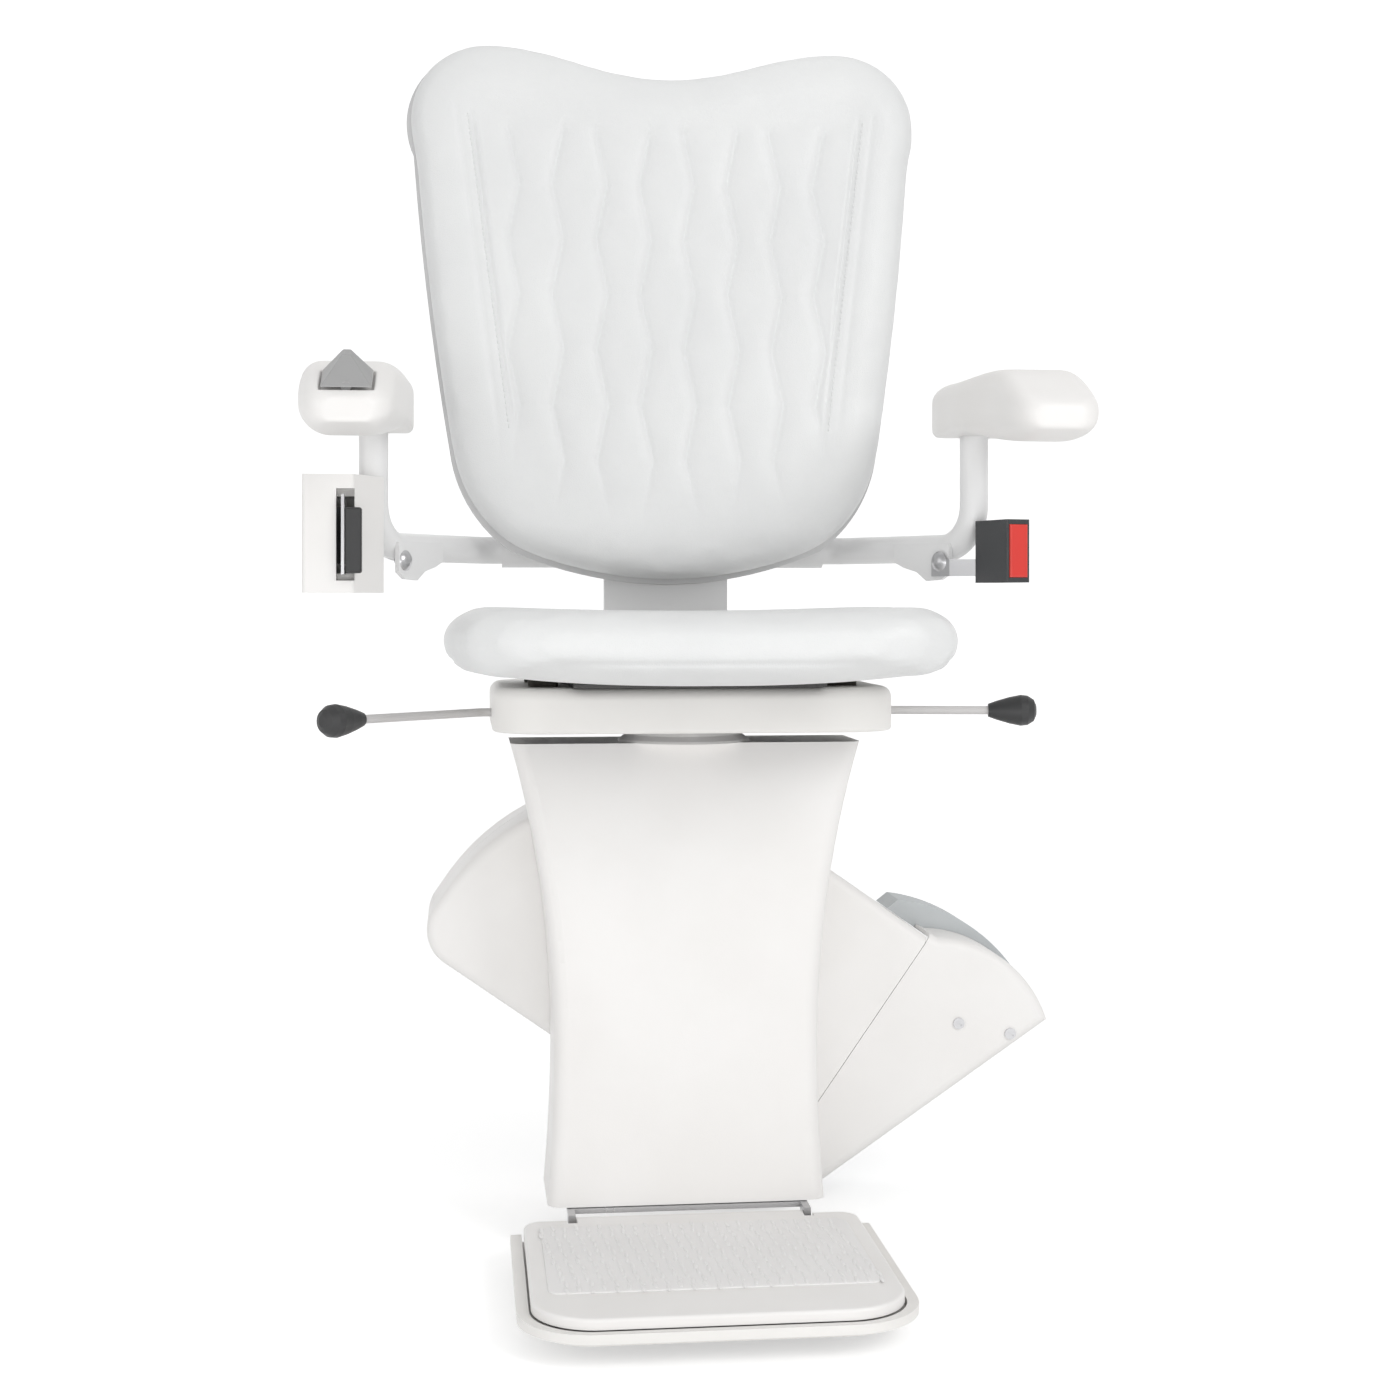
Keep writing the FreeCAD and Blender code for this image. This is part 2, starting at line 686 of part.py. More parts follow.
def make_drive():
    """Motor, gearbox and the pinion that climbs the rail's rack."""
    gear_x = (PINION_X - 35, PINION_X + 35)
    gear_z = (PINION_Z - 36, PINION_Z + 39)
    case = box(gear_x, (FACE_Y + S.cover_wall + 4, PLATE_Y), gear_z)
    bore = rod(S.shaft_radius + S.run_gap, (PINION_X, PLATE_Y - 12, PINION_Z), 13, "Y")
    node("gearbox", cut(case, bore), tilt=True)
    motor_y = (FACE_Y + PLATE_Y) / 2 + 4
    motor = rod(30, (PINION_X + 10, motor_y, gear_z[1]), 66)
    band = rod(32, (PINION_X + 10, motor_y, gear_z[1] + 8), 6)
    node("drive_motor", fuse(motor, band), tilt=True)
    gear = fresh("PartDesign::Body", "body")
    root = S.pinion_radius - S.tooth_depth
    sketch = gear.newObject("Sketcher::SketchObject", "pinion_disc")
    sketch.AttachmentSupport = [(plane_of(gear, "XY_Plane"), "")]
    sketch.MapMode = "FlatFace"
    sketch.addGeometry(Part.Circle(Vector(), Vector(0, 0, 1), float(root)), False)
    sketch.addConstraint(Sketcher.Constraint("Coincident", 0, 3, -1, 1))
    place = sketch.addConstraint(Sketcher.Constraint("Radius", 0, float(root)))
    sketch.setExpression("Constraints[%d]" % place, root.text)
    disc = gear.newObject("PartDesign::Pad", "pinion_web")
    disc.Profile = sketch
    bind(disc, "Length", S.pinion_width)
    tooth_sketch = sketched(
        gear,
        "XY_Plane",
        [
            (root - 2, -3.2),
            (root, -3.2),
            (S.pinion_radius, -1.5),
            (S.pinion_radius, 1.5),
            (root, 3.2),
            (root - 2, 3.2),
        ],
    )
    tooth = gear.newObject("PartDesign::Pad", "pinion_tooth")
    tooth.Profile = tooth_sketch
    bind(tooth, "Length", S.pinion_width)
    DOC.recompute()
    ring = gear.newObject("PartDesign::PolarPattern", "pinion_teeth")
    ring.Originals = [tooth]
    ring.Axis = (sketch, ["N_Axis"])
    ring.Angle = 360
    ring.Occurrences = 14
    gear.Tip = ring
    gear.Placement = FreeCAD.Placement(Vector(), TURN_TO["Y"])
    put(gear, PINION_X, REAR_Y + 3, PINION_Z)
    shaft = rod(S.shaft_radius, (PINION_X, PLATE_Y - 10, PINION_Z), REAR_Y + 3 - PLATE_Y + 14, "Y")
    node("drive_pinion", fuse(gear, shaft), tilt=True)


def make_carriage_insides():
    cells = []
    for step in range(2):
        x0 = S.bracket_half + 30 + step * 68
        cell = box((x0, x0 + 65), (PLATE_Y - 94, PLATE_Y), (-92, 59))
        posts = [
            box((x0 + at, x0 + at + 6), (PLATE_Y - 80, PLATE_Y - 74), (59, 61.5))
            for at in (8, 50)
        ]
        cells.append(fuse(cell, *posts))
    node("batteries", *cells, tilt=True)
    card = box((74, 190), (PLATE_Y - 76, PLATE_Y - 74), (66, 112))
    legs = [rod(3, (x, PLATE_Y - 74, z), 74, "Y") for x in (82, 182) for z in (74, 104)]
    chips = [
        box((x, x + 22), (PLATE_Y - 84, PLATE_Y - 76), (z, z + 14))
        for x in (90, 130)
        for z in (72, 92)
    ]
    node("control_board", fuse(card, *legs, *chips), tilt=True)


def make_upper_safety_edge():
    y, depth = float(EDGE_FRONT), float(S.edge_depth)
    outer = prism(cover_wire(y, 0, 0, 0), depth)
    inner = prism(cover_wire(y - 1, float(S.edge_wall), 1, 1), depth + 2)
    keep = solid_block(
        -FAR, float(-S.upper_end) + 122, y - 1, y + depth + 1, 33 - float(S.carriage_half), FAR
    )
    node("upper_safety_edge", feature(outer.cut(inner).common(keep)), tilt=True)


def make_lower_safety_edge():
    half, seam, y = float(S.carriage_half), float(S.seam), float(EDGE_FRONT)
    wall, gap, low = float(S.edge_wall), float(S.fit_gap), 33 - float(S.carriage_half)
    toe = (seam - 30, y, half + gap)
    brow = (seam - 26, y, half + 13)
    crest = ((seam + float(S.lower_end)) / 2 + 4, y, half + float(S.hump) + 6)
    tip = (end_line(half) + 1, y, half + 4)
    wire = wire_of(
        line(toe, brow),
        arc(brow, crest, tip),
        line(tip, (end_line(low) + 1, y, low)),
        line((end_line(low) + 1, y, low), (end_line(low) - wall, y, low)),
        line((end_line(low) - wall, y, low), (end_line(half) - wall - 2, y, half + gap)),
        line((end_line(half) - wall - 2, y, half + gap), toe),
    )
    node("lower_safety_edge", feature(prism(wire, S.edge_depth)), tilt=True)


# Column: a steel frame inside a tapering cover

def column_side(side, inset, low, high):
    """The two arcs of one side of the column, from its foot to its top."""
    waist = (float(S.waist_half) - inset, float(S.waist_level))
    sides = []
    for half, level in ((float(S.foot_half), low), (float(S.top_half), high)):
        reach = half - inset - waist[0]
        rise = level - waist[1]
        radius = (rise * rise + reach * reach) / (2 * reach)
        middle = waist[0] + radius - math.sqrt(radius * radius - rise * rise / 4)
        sides.append(((half - inset, level), (middle, waist[1] + rise / 2)))
    (foot, foot_mid), (top, top_mid) = sides
    points = [foot, foot_mid, waist, top_mid, top]
    return [(side * x, z) for x, z in points]


def column_wire(y, inset, low, high):
    right = [(x, y, z) for x, z in column_side(1, inset, low, high)]
    left = [(x, y, z) for x, z in column_side(-1, inset, low, high)]
    return wire_of(
        line(left[0], right[0]),
        arc(*right[:3]),
        arc(*right[2:]),
        line(right[4], left[4]),
        arc(*reversed(left[2:])),
        arc(*reversed(left[:3])),
    )


def make_column():
    y, wall = float(FRONT_Y), float(S.cover_wall)
    low, high = float(S.column_foot), float(S.column_top)
    depth = float(COLUMN_BACK - FRONT_Y)
    side_round = 12
    outer = prism(column_wire(y, 0, low, high), depth)
    inner = prism(column_wire(y + wall, wall, low - 1, high - wall), depth)

    def side_edges(solid, level):
        return [
            edge
            for edge in solid.Edges
            if all(abs(edge.valueAt(at).y - level) < 0.01 for at in edge.ParameterRange)
            and abs(edge.BoundBox.ZLength) > 20
        ]

    outer = outer.makeFillet(side_round, side_edges(outer, y))
    inner = inner.makeFillet(side_round - wall, side_edges(inner, y + wall))
    shell = outer.cut(inner)
    hole = Part.makeCylinder(
        float(S.post_radius) + 1, wall + 2, Vector(0, float(AXIS_Y), high - wall - 1)
    )
    shell = shell.cut(hole)
    node("column_cover", feature(shell))

    gap = float(S.soft_gap)
    back = prism(
        column_wire(y + depth - wall, wall + gap, low, high - wall - gap), wall
    )
    mouth = solid_block(
        float(-S.bracket_half) - gap,
        float(S.bracket_half) + gap,
        y + depth - wall - 1,
        y + depth + 1,
        float(-S.bracket_half) * 1.3 - gap,
        float(S.bracket_half) * 1.3 + gap,
    )
    node("column_back_cover", feature(back.cut(mouth)))

    rear = FRONT_Y + S.frame_setback + S.frame_depth
    foot = S.column_foot - 0.5
    head = S.column_top - S.cover_wall - 0.5
    tube = box((-S.frame_half, S.frame_half), (FRONT_Y + S.frame_setback, rear), (foot, head))
    hollow = box(
        (S.frame_wall - S.frame_half, S.frame_half - S.frame_wall),
        (FRONT_Y + S.frame_setback + S.frame_wall, rear - S.frame_wall),
        (foot - 1, head - 8),
    )
    high_side = S.bracket_half * 1.3
    arm = box((-S.bracket_half, S.bracket_half), (rear, PLATE_Y), (-high_side, high_side))
    core = box(
        (8 - S.bracket_half, S.bracket_half - 8), (rear, PLATE_Y + 1), (8 - high_side, high_side - 8)
    )
    node("column_frame", fuse(cut(tube, hollow), cut(arm, core)))

    post = rod(S.post_radius, (0, AXIS_Y, head), SWIVEL_TOP + 10 - head)
    node("swivel_post", post)
    collar = turned_body(
        [
            (S.post_radius, 0),
            (S.collar_flare, 0),
            (S.collar_flare - 1, 2),
            (S.collar_radius + 1.5, 6),
            (S.collar_radius, 9),
            (S.collar_radius, S.base_bottom - S.column_top),
            (S.post_radius, S.base_bottom - S.column_top),
        ]
    )
    put(collar, 0, AXIS_Y, S.column_top)
    node("post_collar", collar)

    disc = Part.makeCylinder(
        float(S.index_radius), float(S.index_thick), Vector(0, 0, 0)
    )
    disc = disc.cut(Part.makeCylinder(float(S.post_radius), float(S.index_thick), Vector()))
    turn = float(S.swivel_turn) + 3
    reach, half = float(S.latch_reach), float(S.latch_radius) + 0.5
    track = Part.makeCylinder(reach + half, float(S.index_thick), Vector(), Vector(0, 0, 1), 2 * turn)
    track = track.cut(Part.makeCylinder(reach - half, float(S.index_thick), Vector()))
    track.rotate(Vector(), Vector(0, 0, 1), -90 - turn)
    disc = disc.cut(track)
    for side in (-1, 1):
        stop = Part.makeCylinder(half, float(S.index_thick), Vector(0, -reach, 0))
        stop.rotate(Vector(), Vector(0, 0, 1), side * turn)
        disc = disc.cut(stop)
    plate = feature(disc)
    put(plate, 0, AXIS_Y, S.base_bottom + 0.5)
    node("index_plate", plate)


# Footrest: a folding plate over a safety pan

def make_footrest():
    lug = S.barrel_half + 0.5
    lug_thick = 6
    plate_z = (S.column_foot - 4.5, S.column_foot - 0.5)
    rear = FRONT_Y + S.frame_setback + S.frame_depth
    flat = box((-lug - lug_thick, lug + lug_thick), (FRONT_Y - 3, rear), plate_z)
    ears = [
        box(
            (x, x + lug_thick),
            (FOOT_AXIS_Y - S.barrel_radius, FRONT_Y),
            (FOOT_AXIS_Z - S.barrel_radius, plate_z[1]),
        )
        for x in (lug, -lug - lug_thick)
    ]
    pin_bar = rod(
        S.pin_radius, (-lug - lug_thick, FOOT_AXIS_Y, FOOT_AXIS_Z), 2 * (lug + lug_thick), "X"
    )
    node("foot_hinge_bracket", cut(fuse(flat, *ears), pin_bar))
    pin = rod(
        S.pin_radius, (-lug - lug_thick, FOOT_AXIS_Y, FOOT_AXIS_Z), 2 * (lug + lug_thick), "X"
    )
    node("foot_hinge_pin", pin)

    back = FOOT_AXIS_Y - S.barrel_radius
    front = FRONT_Y - S.plate_reach
    under = S.plate_top - S.plate_thick
    slab = box((-S.plate_half, S.plate_half), (front, back), (under, S.plate_top))
    slab = rounded(
        slab, S.plate_corner, lambda e: upright_edge(e) and e.CenterOfMass.y < float(front) + 1
    )
    slab = rounded(
        slab, 16, lambda e: upright_edge(e) and e.CenterOfMass.y > float(back) - 1
    )
    slab = rounded(slab, 2.5, lambda e: e.BoundBox.ZMin > float(S.plate_top) - 0.01)
    barrel = rod(S.barrel_radius, (-S.barrel_half, FOOT_AXIS_Y, FOOT_AXIS_Z), 2 * S.barrel_half, "X")
    neck = box(
        (-S.barrel_half, S.barrel_half), (back - 4, FOOT_AXIS_Y), (under, S.plate_top)
    )
    notches = [
        box((x, x + lug_thick + 2), (back - 10, back + 1), (under - 1, S.plate_top + 1))
        for x in (lug - 1, -lug - lug_thick - 1)
    ]
    bore = rod(
        S.pin_radius + S.run_gap,
        (-S.barrel_half - 1, FOOT_AXIS_Y, FOOT_AXIS_Z),
        2 * S.barrel_half + 2,
        "X",
    )
    screw_spots = [
        (side * reach, front + ahead)
        for side in (-1, 1)
        for reach, ahead in ((S.plate_half - 35, 190), (S.plate_half - 45, 45))
    ]
    sockets = [rod(3, (x, y, under - 1), 5) for x, y in screw_spots]
    node("foot_plate", cut(fuse(slab, barrel, neck), *notches, bore, *sockets))
    mat = box(
        (-S.plate_half + 13, S.plate_half - 13),
        (back - 185, back - 22),
        (S.plate_top, S.plate_top + S.mat_thick),
    )
    node("tread_mat", rounded(mat, 10, upright_edge))

    top = under - 0.5
    floor = top - S.pan_travel - 2
    bottom = top - S.pan_depth
    rim_front = front - 8
    rim = box((-S.rim_half, S.rim_half), (rim_front, back - 7), (bottom + 6, top))
    rim = rounded(
        rim, S.plate_corner + 8, lambda e: upright_edge(e) and e.CenterOfMass.y < float(rim_front) + 1
    )
    tub = box(
        (14 - S.rim_half, S.rim_half - 14), (rim_front + 14, back - 18), (bottom, bottom + 7)
    )
    tub = rounded(tub, S.plate_corner - 6, upright_edge)
    cavity = box(
        (-S.plate_half - S.pan_gap, S.plate_half + S.pan_gap),
        (front - S.pan_gap, back + 1),
        (floor, top + 1),
    )
    cavity = rounded(
        cavity, S.plate_corner, lambda e: upright_edge(e) and e.CenterOfMass.y < float(front)
    )
    head = 2.5
    shanks, holes = [], []
    for x, y in screw_spots:
        shank = rod(3, (x, y, bottom), under + 4 - bottom)
        shanks.append(fuse(shank, rod(6, (x, y, bottom), head)))
        holes.append(rod(3.2, (x, y, bottom - 1), S.pan_depth))
        holes.append(rod(6.4, (x, y, bottom - 1), head + 1))
    node("safety_pan", cut(fuse(rim, tub), cavity, *holes))
    node("pan_screws", *shanks)


# Seat base: swivel plate, housing and upright

BUFFER_RISE = 7.3
BUFFERS = [
    (side * float(S.buffer_reach), float(FRONT_Y) + at) for side in (-1, 1) for at in (-36, 62)
]


def make_seat_base():
    rear = UPRIGHT_Y
    plate = box(
        (-S.swivel_half, S.swivel_half),
        (FRONT_Y - S.base_front + 20, FRONT_Y - S.base_front + S.base_depth - 15),
        (SWIVEL_BOTTOM, SWIVEL_TOP),
    )
    tongue = box(
        (-S.upright_half, S.upright_half), (AXIS_Y, rear), (SWIVEL_BOTTOM, SWIVEL_TOP)
    )
    bore = rod(S.post_radius + S.run_gap, (0, AXIS_Y, SWIVEL_BOTTOM - 1), S.swivel_thick + 2)
    pin_hole = rod(
        S.latch_radius + S.run_gap,
        (0, AXIS_Y - S.latch_reach, SWIVEL_BOTTOM - 1),
        S.swivel_thick + 2,
    )
    lever_slots = [
        box(x, (LEVER_Y - 4.3, LEVER_Y + 4.3), (SWIVEL_BOTTOM - 1, SWIVEL_TOP + 1))
        for x in (
            (S.lever_pivot - 8, S.swivel_half + 1),
            (-S.swivel_half - 1, 8 - S.lever_pivot),
        )
    ]
    node("swivel_plate", cut(fuse(plate, tongue), bore, pin_hole, *lever_slots))

    front = FRONT_Y - S.base_front
    side = (-S.base_half, S.base_half)
    outer = box(side, (front, front + S.base_depth), (S.base_bottom, BASE_TOP))
    outer = rounded(outer, S.base_corner, upright_edge)
    outer = rounded(outer, 9, lambda e: e.BoundBox.ZMin > float(BASE_TOP) - 0.01)
    outer = rounded(outer, 3, lambda e: e.BoundBox.ZMax < float(S.base_bottom) + 0.01)
    inner = box(
        (S.cover_wall - S.base_half, S.base_half - S.cover_wall),
        (front + S.cover_wall, front + S.base_depth - S.cover_wall),
        (S.base_bottom - 1, BASE_TOP - S.cover_wall),
    )
    inner = rounded(inner, S.base_corner - S.cover_wall, upright_edge)
    inner = rounded(
        inner, 6, lambda e: e.BoundBox.ZMin > float(BASE_TOP - S.cover_wall) - 0.01
    )
    sway = 5
    notches = [
        box(
            (x, x + S.cover_wall + 2),
            (LEVER_Y - S.lever_radius - 1.5, LEVER_Y + S.lever_radius + 1.5),
            (S.base_bottom - 1, S.lever_level + S.lever_radius + 1),
        )
        for x in (-S.base_half - 1, S.base_half - S.cover_wall - 1)
    ]
    mouth = box(
        (-S.upright_half - S.fit_gap, S.upright_half + S.fit_gap),
        (front + S.base_depth - S.cover_wall - 1, front + S.base_depth + 1),
        (S.base_bottom - 1, SWIVEL_TOP + S.fit_gap),
    )
    ribs = [
        rod(sway, (x, y, SWIVEL_TOP), BASE_TOP - 1 - SWIVEL_TOP)
        for x in (-S.swivel_half + 30, S.swivel_half - 30)
        for y in (front + 45, front + S.base_depth - 45)
    ]
    node("base_cover", fuse(cut(outer, inner, *notches, mouth), *ribs))

    lean = math.tan(math.radians(float(S.back_lean)))
    shift = (S.upright_top - S.back_bottom) * lean
    sheet_back = S.upright_thick
    profile = [
        (rear, SWIVEL_BOTTOM),
        (rear + sheet_back, SWIVEL_BOTTOM),
        (rear + sheet_back, S.back_bottom),
        (rear + sheet_back + shift, S.upright_top),
        (rear + shift, S.upright_top),
        (rear, S.back_bottom),
    ]
    strip = padded_body("YZ_Plane", profile, S.upright_half * 2, both_ways=True)
    lugs = []
    for x in (44, -50):
        bar = box(
            (x, x + 6),
            (HINGE_Y, rear),
            (S.hinge_level - S.knuckle_radius, S.hinge_level + S.knuckle_radius),
        )
        eye = rod(S.knuckle_radius, (x, HINGE_Y, S.hinge_level), 6, "X")
        lugs += [bar, eye]
    pin_bar = rod(S.hinge_radius, (-50, HINGE_Y, S.hinge_level), 100, "X")
    node("back_upright", cut(fuse(strip, *lugs), pin_bar))
    node("seat_hinge_pin", rod(S.hinge_radius, (-50, HINGE_Y, S.hinge_level), 100, "X"))

    buffers = []
    half = S.buffer_size / 2
    for x, y in BUFFERS:
        pad = box((x - half, x + half), (y - half, y + half), (BASE_TOP, BASE_TOP + BUFFER_RISE))
        buffers.append(rounded(pad, 4, upright_edge))
    node("seat_buffers", *buffers)


# Backrest: a fan outline, built upright and then leaned back

def fan_wire(grow, y, top_drop=0.0):
    """Half the fan from bottom to dip, mirrored; grow widens it, y places it."""
    half, peak = float(S.back_half), float(S.back_peak)
    dip = peak - float(S.back_dip)
    centre = peak * 0.52

    def spot(across, up):
        scale = (half + grow) / half
        rise = (centre + grow) / centre
        return (across * half * scale, y, centre + (up - centre) * rise - top_drop)

    halves = [
        spot(0, 0),
        spot(0.32, peak * 0.017),
        spot(0.615, peak * 0.062),
        spot(0.765, peak * 0.135),
        spot(0.85, peak * 0.245),
        spot(0.93, peak * 0.5),
        spot(0.993, peak * 0.8),
        spot(0.96, peak * 0.945),
        spot(0.655, peak),
        spot(0.50, peak - (peak - dip) * 0.17),
        spot(0.36, peak - (peak - dip) * 0.47),
        spot(0.19, dip + (peak - dip) * 0.17),
        spot(0, dip),
    ]
    edges = []
    for index in range(0, 12, 2):
        a, b, c = halves[index:index + 3]
        edges.append(arc(a, b, c))
    mirrored = [(-x, y0, z) for x, y0, z in halves]
    for index in range(12, 0, -2):
        a, b, c = mirrored[index], mirrored[index - 1], mirrored[index - 2]
        edges.append(arc(a, b, c))
    return wire_of(*edges)


def lean_back(shape):
    """Places an upright backrest piece at the backrest's foot and leans it."""
    piece = feature(shape)
    piece.Placement = FreeCAD.Placement(Vector(), Vector(-1, 0, 0), float(S.back_lean))
    bind(piece, "Placement.Rotation.Angle", S.back_lean)
    bind(piece, "Placement.Base.y", UPRIGHT_Y)
    bind(piece, "Placement.Base.z", S.back_bottom)
    return piece


def stitch_line(x, flip, low, high, y):
    """The edges of one zigzag channel, as a wide and a narrow outline."""
    step, swing = float(S.stitch_step), float(S.stitch_swing)
    legs = max(2, int((high - low) / step))
    path = []
    for index in range(legs + 1):
        side = swing if (index + flip) % 2 else -swing
        path.append((x + side, high - index * step))
    outlines = []
    for half, level in ((float(S.stitch_width) / 2, y), (0.5, y + float(S.stitch_depth))):
        right = [(a + half, level, b) for a, b in path]
        left = [(a - half, level, b) for a, b in reversed(path)]
        outlines.append(polygon(right + left))
    return lofted(outlines, ruled=True)


def make_backrest():
    shell, thick = float(S.shell_thick), float(S.back_thick)
    face = -shell - thick
    back = prism(fan_wire(-float(S.shell_inset), -shell), shell)
    node("backrest_shell", lean_back(back))

    roll = [(0, 24), (0.06, 12), (0.2, 4), (0.4, 0.5), (0.6, 0), (0.85, 0), (1, 3)]
    cushion = lofted([fan_wire(-inset, face + at * thick) for at, inset in roll])
    floor = face + float(S.panel_drop)
    border = 46
    slope_out = 9
    recess = lofted(
        [fan_wire(slope_out - border, face - 3), fan_wire(-slope_out - border, floor)], ruled=True
    )
    cushion = cushion.cut(recess)
    lines, pitch = int(float(S.stitch_lines)), float(S.stitch_pitch)
    for index in range(lines):
        across = (index - (lines - 1) / 2) * pitch
        share = abs(across) / float(S.back_half)
        low = float(S.back_peak) * (0.20 + 0.25 * share * share)
        high = float(S.back_peak) * 0.84
        cushion = cushion.cut(stitch_line(across, index % 2, low, high, floor))
    node("backrest_cushion", lean_back(cushion))


# Seat cushion and the pan that it folds with

def cushion_section(y, half, top, bottom, dish):
    """One slice of the seat cushion: a dished top, round sides, a bowed underside."""
    middle = (top + bottom) / 2 + 3
    crown = half * 0.80
    foot = half * 0.70
    lift = (top - bottom) * 0.12
    return wire_of(
        arc((-crown, y, top), (0, y, top - dish), (crown, y, top)),
        arc((crown, y, top), (half * 0.955, y, top - (top - middle) * 0.32), (half, y, middle)),
        arc((half, y, middle), (half * 0.93, y, bottom + lift * 2.1), (foot, y, bottom + lift)),
        arc((foot, y, bottom + lift), (0, y, bottom), (-foot, y, bottom + lift)),
        arc((-foot, y, bottom + lift), (-half * 0.93, y, bottom + lift * 2.1), (-half, y, middle)),
        arc((-half, y, middle), (-half * 0.955, y, top - (top - middle) * 0.32), (-crown, y, top)),
    )


def make_seat():
    front, rear = float(FRONT_Y - S.seat_front), float(FRONT_Y + S.seat_rear)
    half, top = float(S.seat_half), float(S.seat_top)
    bottom = float(PAN_Z + S.pan_thick + S.soft_gap)
    dish = float(S.seat_dish)
    deep = rear - front
    sections = [
        (0.0, 0.66, 13, 20, 0.2),
        (0.03, 0.79, 5, 10, 0.4),
        (0.10, 0.915, 1, 3, 0.8),
        (0.24, 0.98, 0, 0, 1),
        (0.45, 1.0, 0, 0, 1),
        (0.70, 0.985, 0, 0, 1),
        (0.90, 0.94, 0, 0, 1),
        (0.975, 0.89, 3, 3, 0.7),
        (1.0, 0.84, 9, 9, 0.4),
    ]
    wires = [
        cushion_section(front + at * deep, wide * half, top - down, bottom + up, dish * dip)
        for at, wide, down, up, dip in sections
    ]
    cushion = lofted(wires)
    floor = float(PAN_Z + S.pan_thick)
    cushion = cushion.cut(solid_block(-FAR, FAR, -FAR, FAR, floor - 50, floor))
    for x, y in BUFFERS:
        reach = float(S.buffer_size) / 2 + 2
        rest = float(BASE_TOP) + BUFFER_RISE + float(S.soft_gap)
        cushion = cushion.cut(solid_block(x - reach, x + reach, y - reach, y + reach, floor - 9, rest))
    node("seat_cushion", feature(cushion))

    pan_rear = HINGE_Y + 2
    pan_top = PAN_Z + S.pan_thick
    plate = box((-S.pan_half, S.pan_half), (FRONT_Y - 100, pan_rear), (PAN_Z, pan_top))
    knuckles = []
    for x in (34, -43):
        arm = box((x, x + 9), (HINGE_Y - 12, pan_rear), (PAN_Z, S.hinge_level))
        eye = rod(S.knuckle_radius, (x, HINGE_Y, S.hinge_level), 9, "X")
        knuckles += [arm, eye]
    bore = rod(S.hinge_radius + S.run_gap, (-60, HINGE_Y, S.hinge_level), 120, "X")
    node("seat_pan", cut(fuse(plate, *knuckles), bore))


# Levers and the latch pin that they lift

def knob_body():
    wide, tall = S.knob_radius, S.knob_length
    return turned_body(
        [
            (0, 0),
            (wide * 0.42, 0),
            (wide * 0.62, tall * 0.18),
            (wide * 0.86, tall * 0.45),
            (wide, tall * 0.68),
            (wide * 0.95, tall * 0.82),
            (wide * 0.70, tall * 0.95),
            (wide * 0.35, tall),
            (0, tall),
        ]
    )


def make_levers():
    pivots = []
    eye_half = 4
    for side, name, reach, sweep in (
        (-1, "left", S.left_reach, S.left_sweep),
        (1, "right", S.right_reach, S.right_sweep),
    ):
        y, z = float(LEVER_Y), float(S.lever_level)
        bend = (side * (float(S.base_half) + 8), y, z)
        tip = (side * float(reach), y - float(sweep), z)
        start = (side * float(S.lever_inner), y, z)
        bar = pipe([start, bend, tip], float(S.lever_radius), [14])
        pivot_x = side * float(S.lever_pivot)
        eye = y_rod(6, pivot_x, y - eye_half, z, 2 * eye_half)
        bore = y_rod(float(S.pin_radius) - 1 + float(S.run_gap), pivot_x, y - 20, z, 40)
        node(name + "_lever_rod", feature(bar.fuse(eye).cut(bore)))

        knob = knob_body()
        turn = math.degrees(math.atan2(-(tip[1] - bend[1]), side * (tip[0] - bend[0])))
        swing = FreeCAD.Rotation(Vector(0, 0, 1), -turn if side > 0 else 180 + turn)
        knob.Placement = FreeCAD.Placement(Vector(*tip), swing * TURN_TO["X"])
        node(name + "_lever_knob", knob)

        sheet_z = float(SWIVEL_TOP)
        for at in (-eye_half - 4.3, eye_half + 0.3):
            cheek = solid_block(
                pivot_x - 7, pivot_x + 7, y + at, y + at + 4, sheet_z, z + 7
            )
            pivots.append(cheek)
        pivots.append(
            y_rod(float(S.pin_radius) - 1, pivot_x, y - eye_half - 4.3, z, 2 * eye_half + 8.6)
        )
    joined = []
    for index in (0, 3):
        first, second, pin = pivots[index:index + 3]
        joined.append(feature(first.fuse([second, pin]).removeSplitter()))
    node("lever_pivots", *joined)

    low = S.base_bottom + 1
    bar_z = S.lever_level + S.lever_radius + 0.3
    pin = rod(S.latch_radius, (0, AXIS_Y - S.latch_reach, low), bar_z + 2 - low)
    yoke = box(
        (-S.lever_inner - 9, S.lever_inner + 9),
        (LEVER_Y - 6, LEVER_Y + 6),
        (bar_z, bar_z + 4),
    )
    link = box(
        (-9, 9),
        (AXIS_Y - S.latch_reach - 8, LEVER_Y + 6),
        (bar_z, bar_z + 4),
    )
    node("latch_pin", fuse(pin, yoke, link))


# Arms: bent tubes that fold up about a tube behind the backrest

def rounded_section(y, x0, x1, z0, z1, top, foot):
    """A rounded oblong across the arm pad; top and foot are its corner radii."""
    k = 1 - 1 / math.sqrt(2)
    return wire_of(
        line((x0 + foot, y, z0), (x1 - foot, y, z0)),
        arc((x1 - foot, y, z0), (x1 - foot * k, y, z0 + foot * k), (x1, y, z0 + foot)),
        line((x1, y, z0 + foot), (x1, y, z1 - top)),
        arc((x1, y, z1 - top), (x1 - top * k, y, z1 - top * k), (x1 - top, y, z1)),
        line((x1 - top, y, z1), (x0 + top, y, z1)),
        arc((x0 + top, y, z1), (x0 + top * k, y, z1 - top * k), (x0, y, z1 - top)),
        line((x0, y, z1 - top), (x0, y, z0 + foot)),
        arc((x0, y, z0 + foot), (x0 + foot * k, y, z0 + foot * k), (x0 + foot, y, z0)),
    )


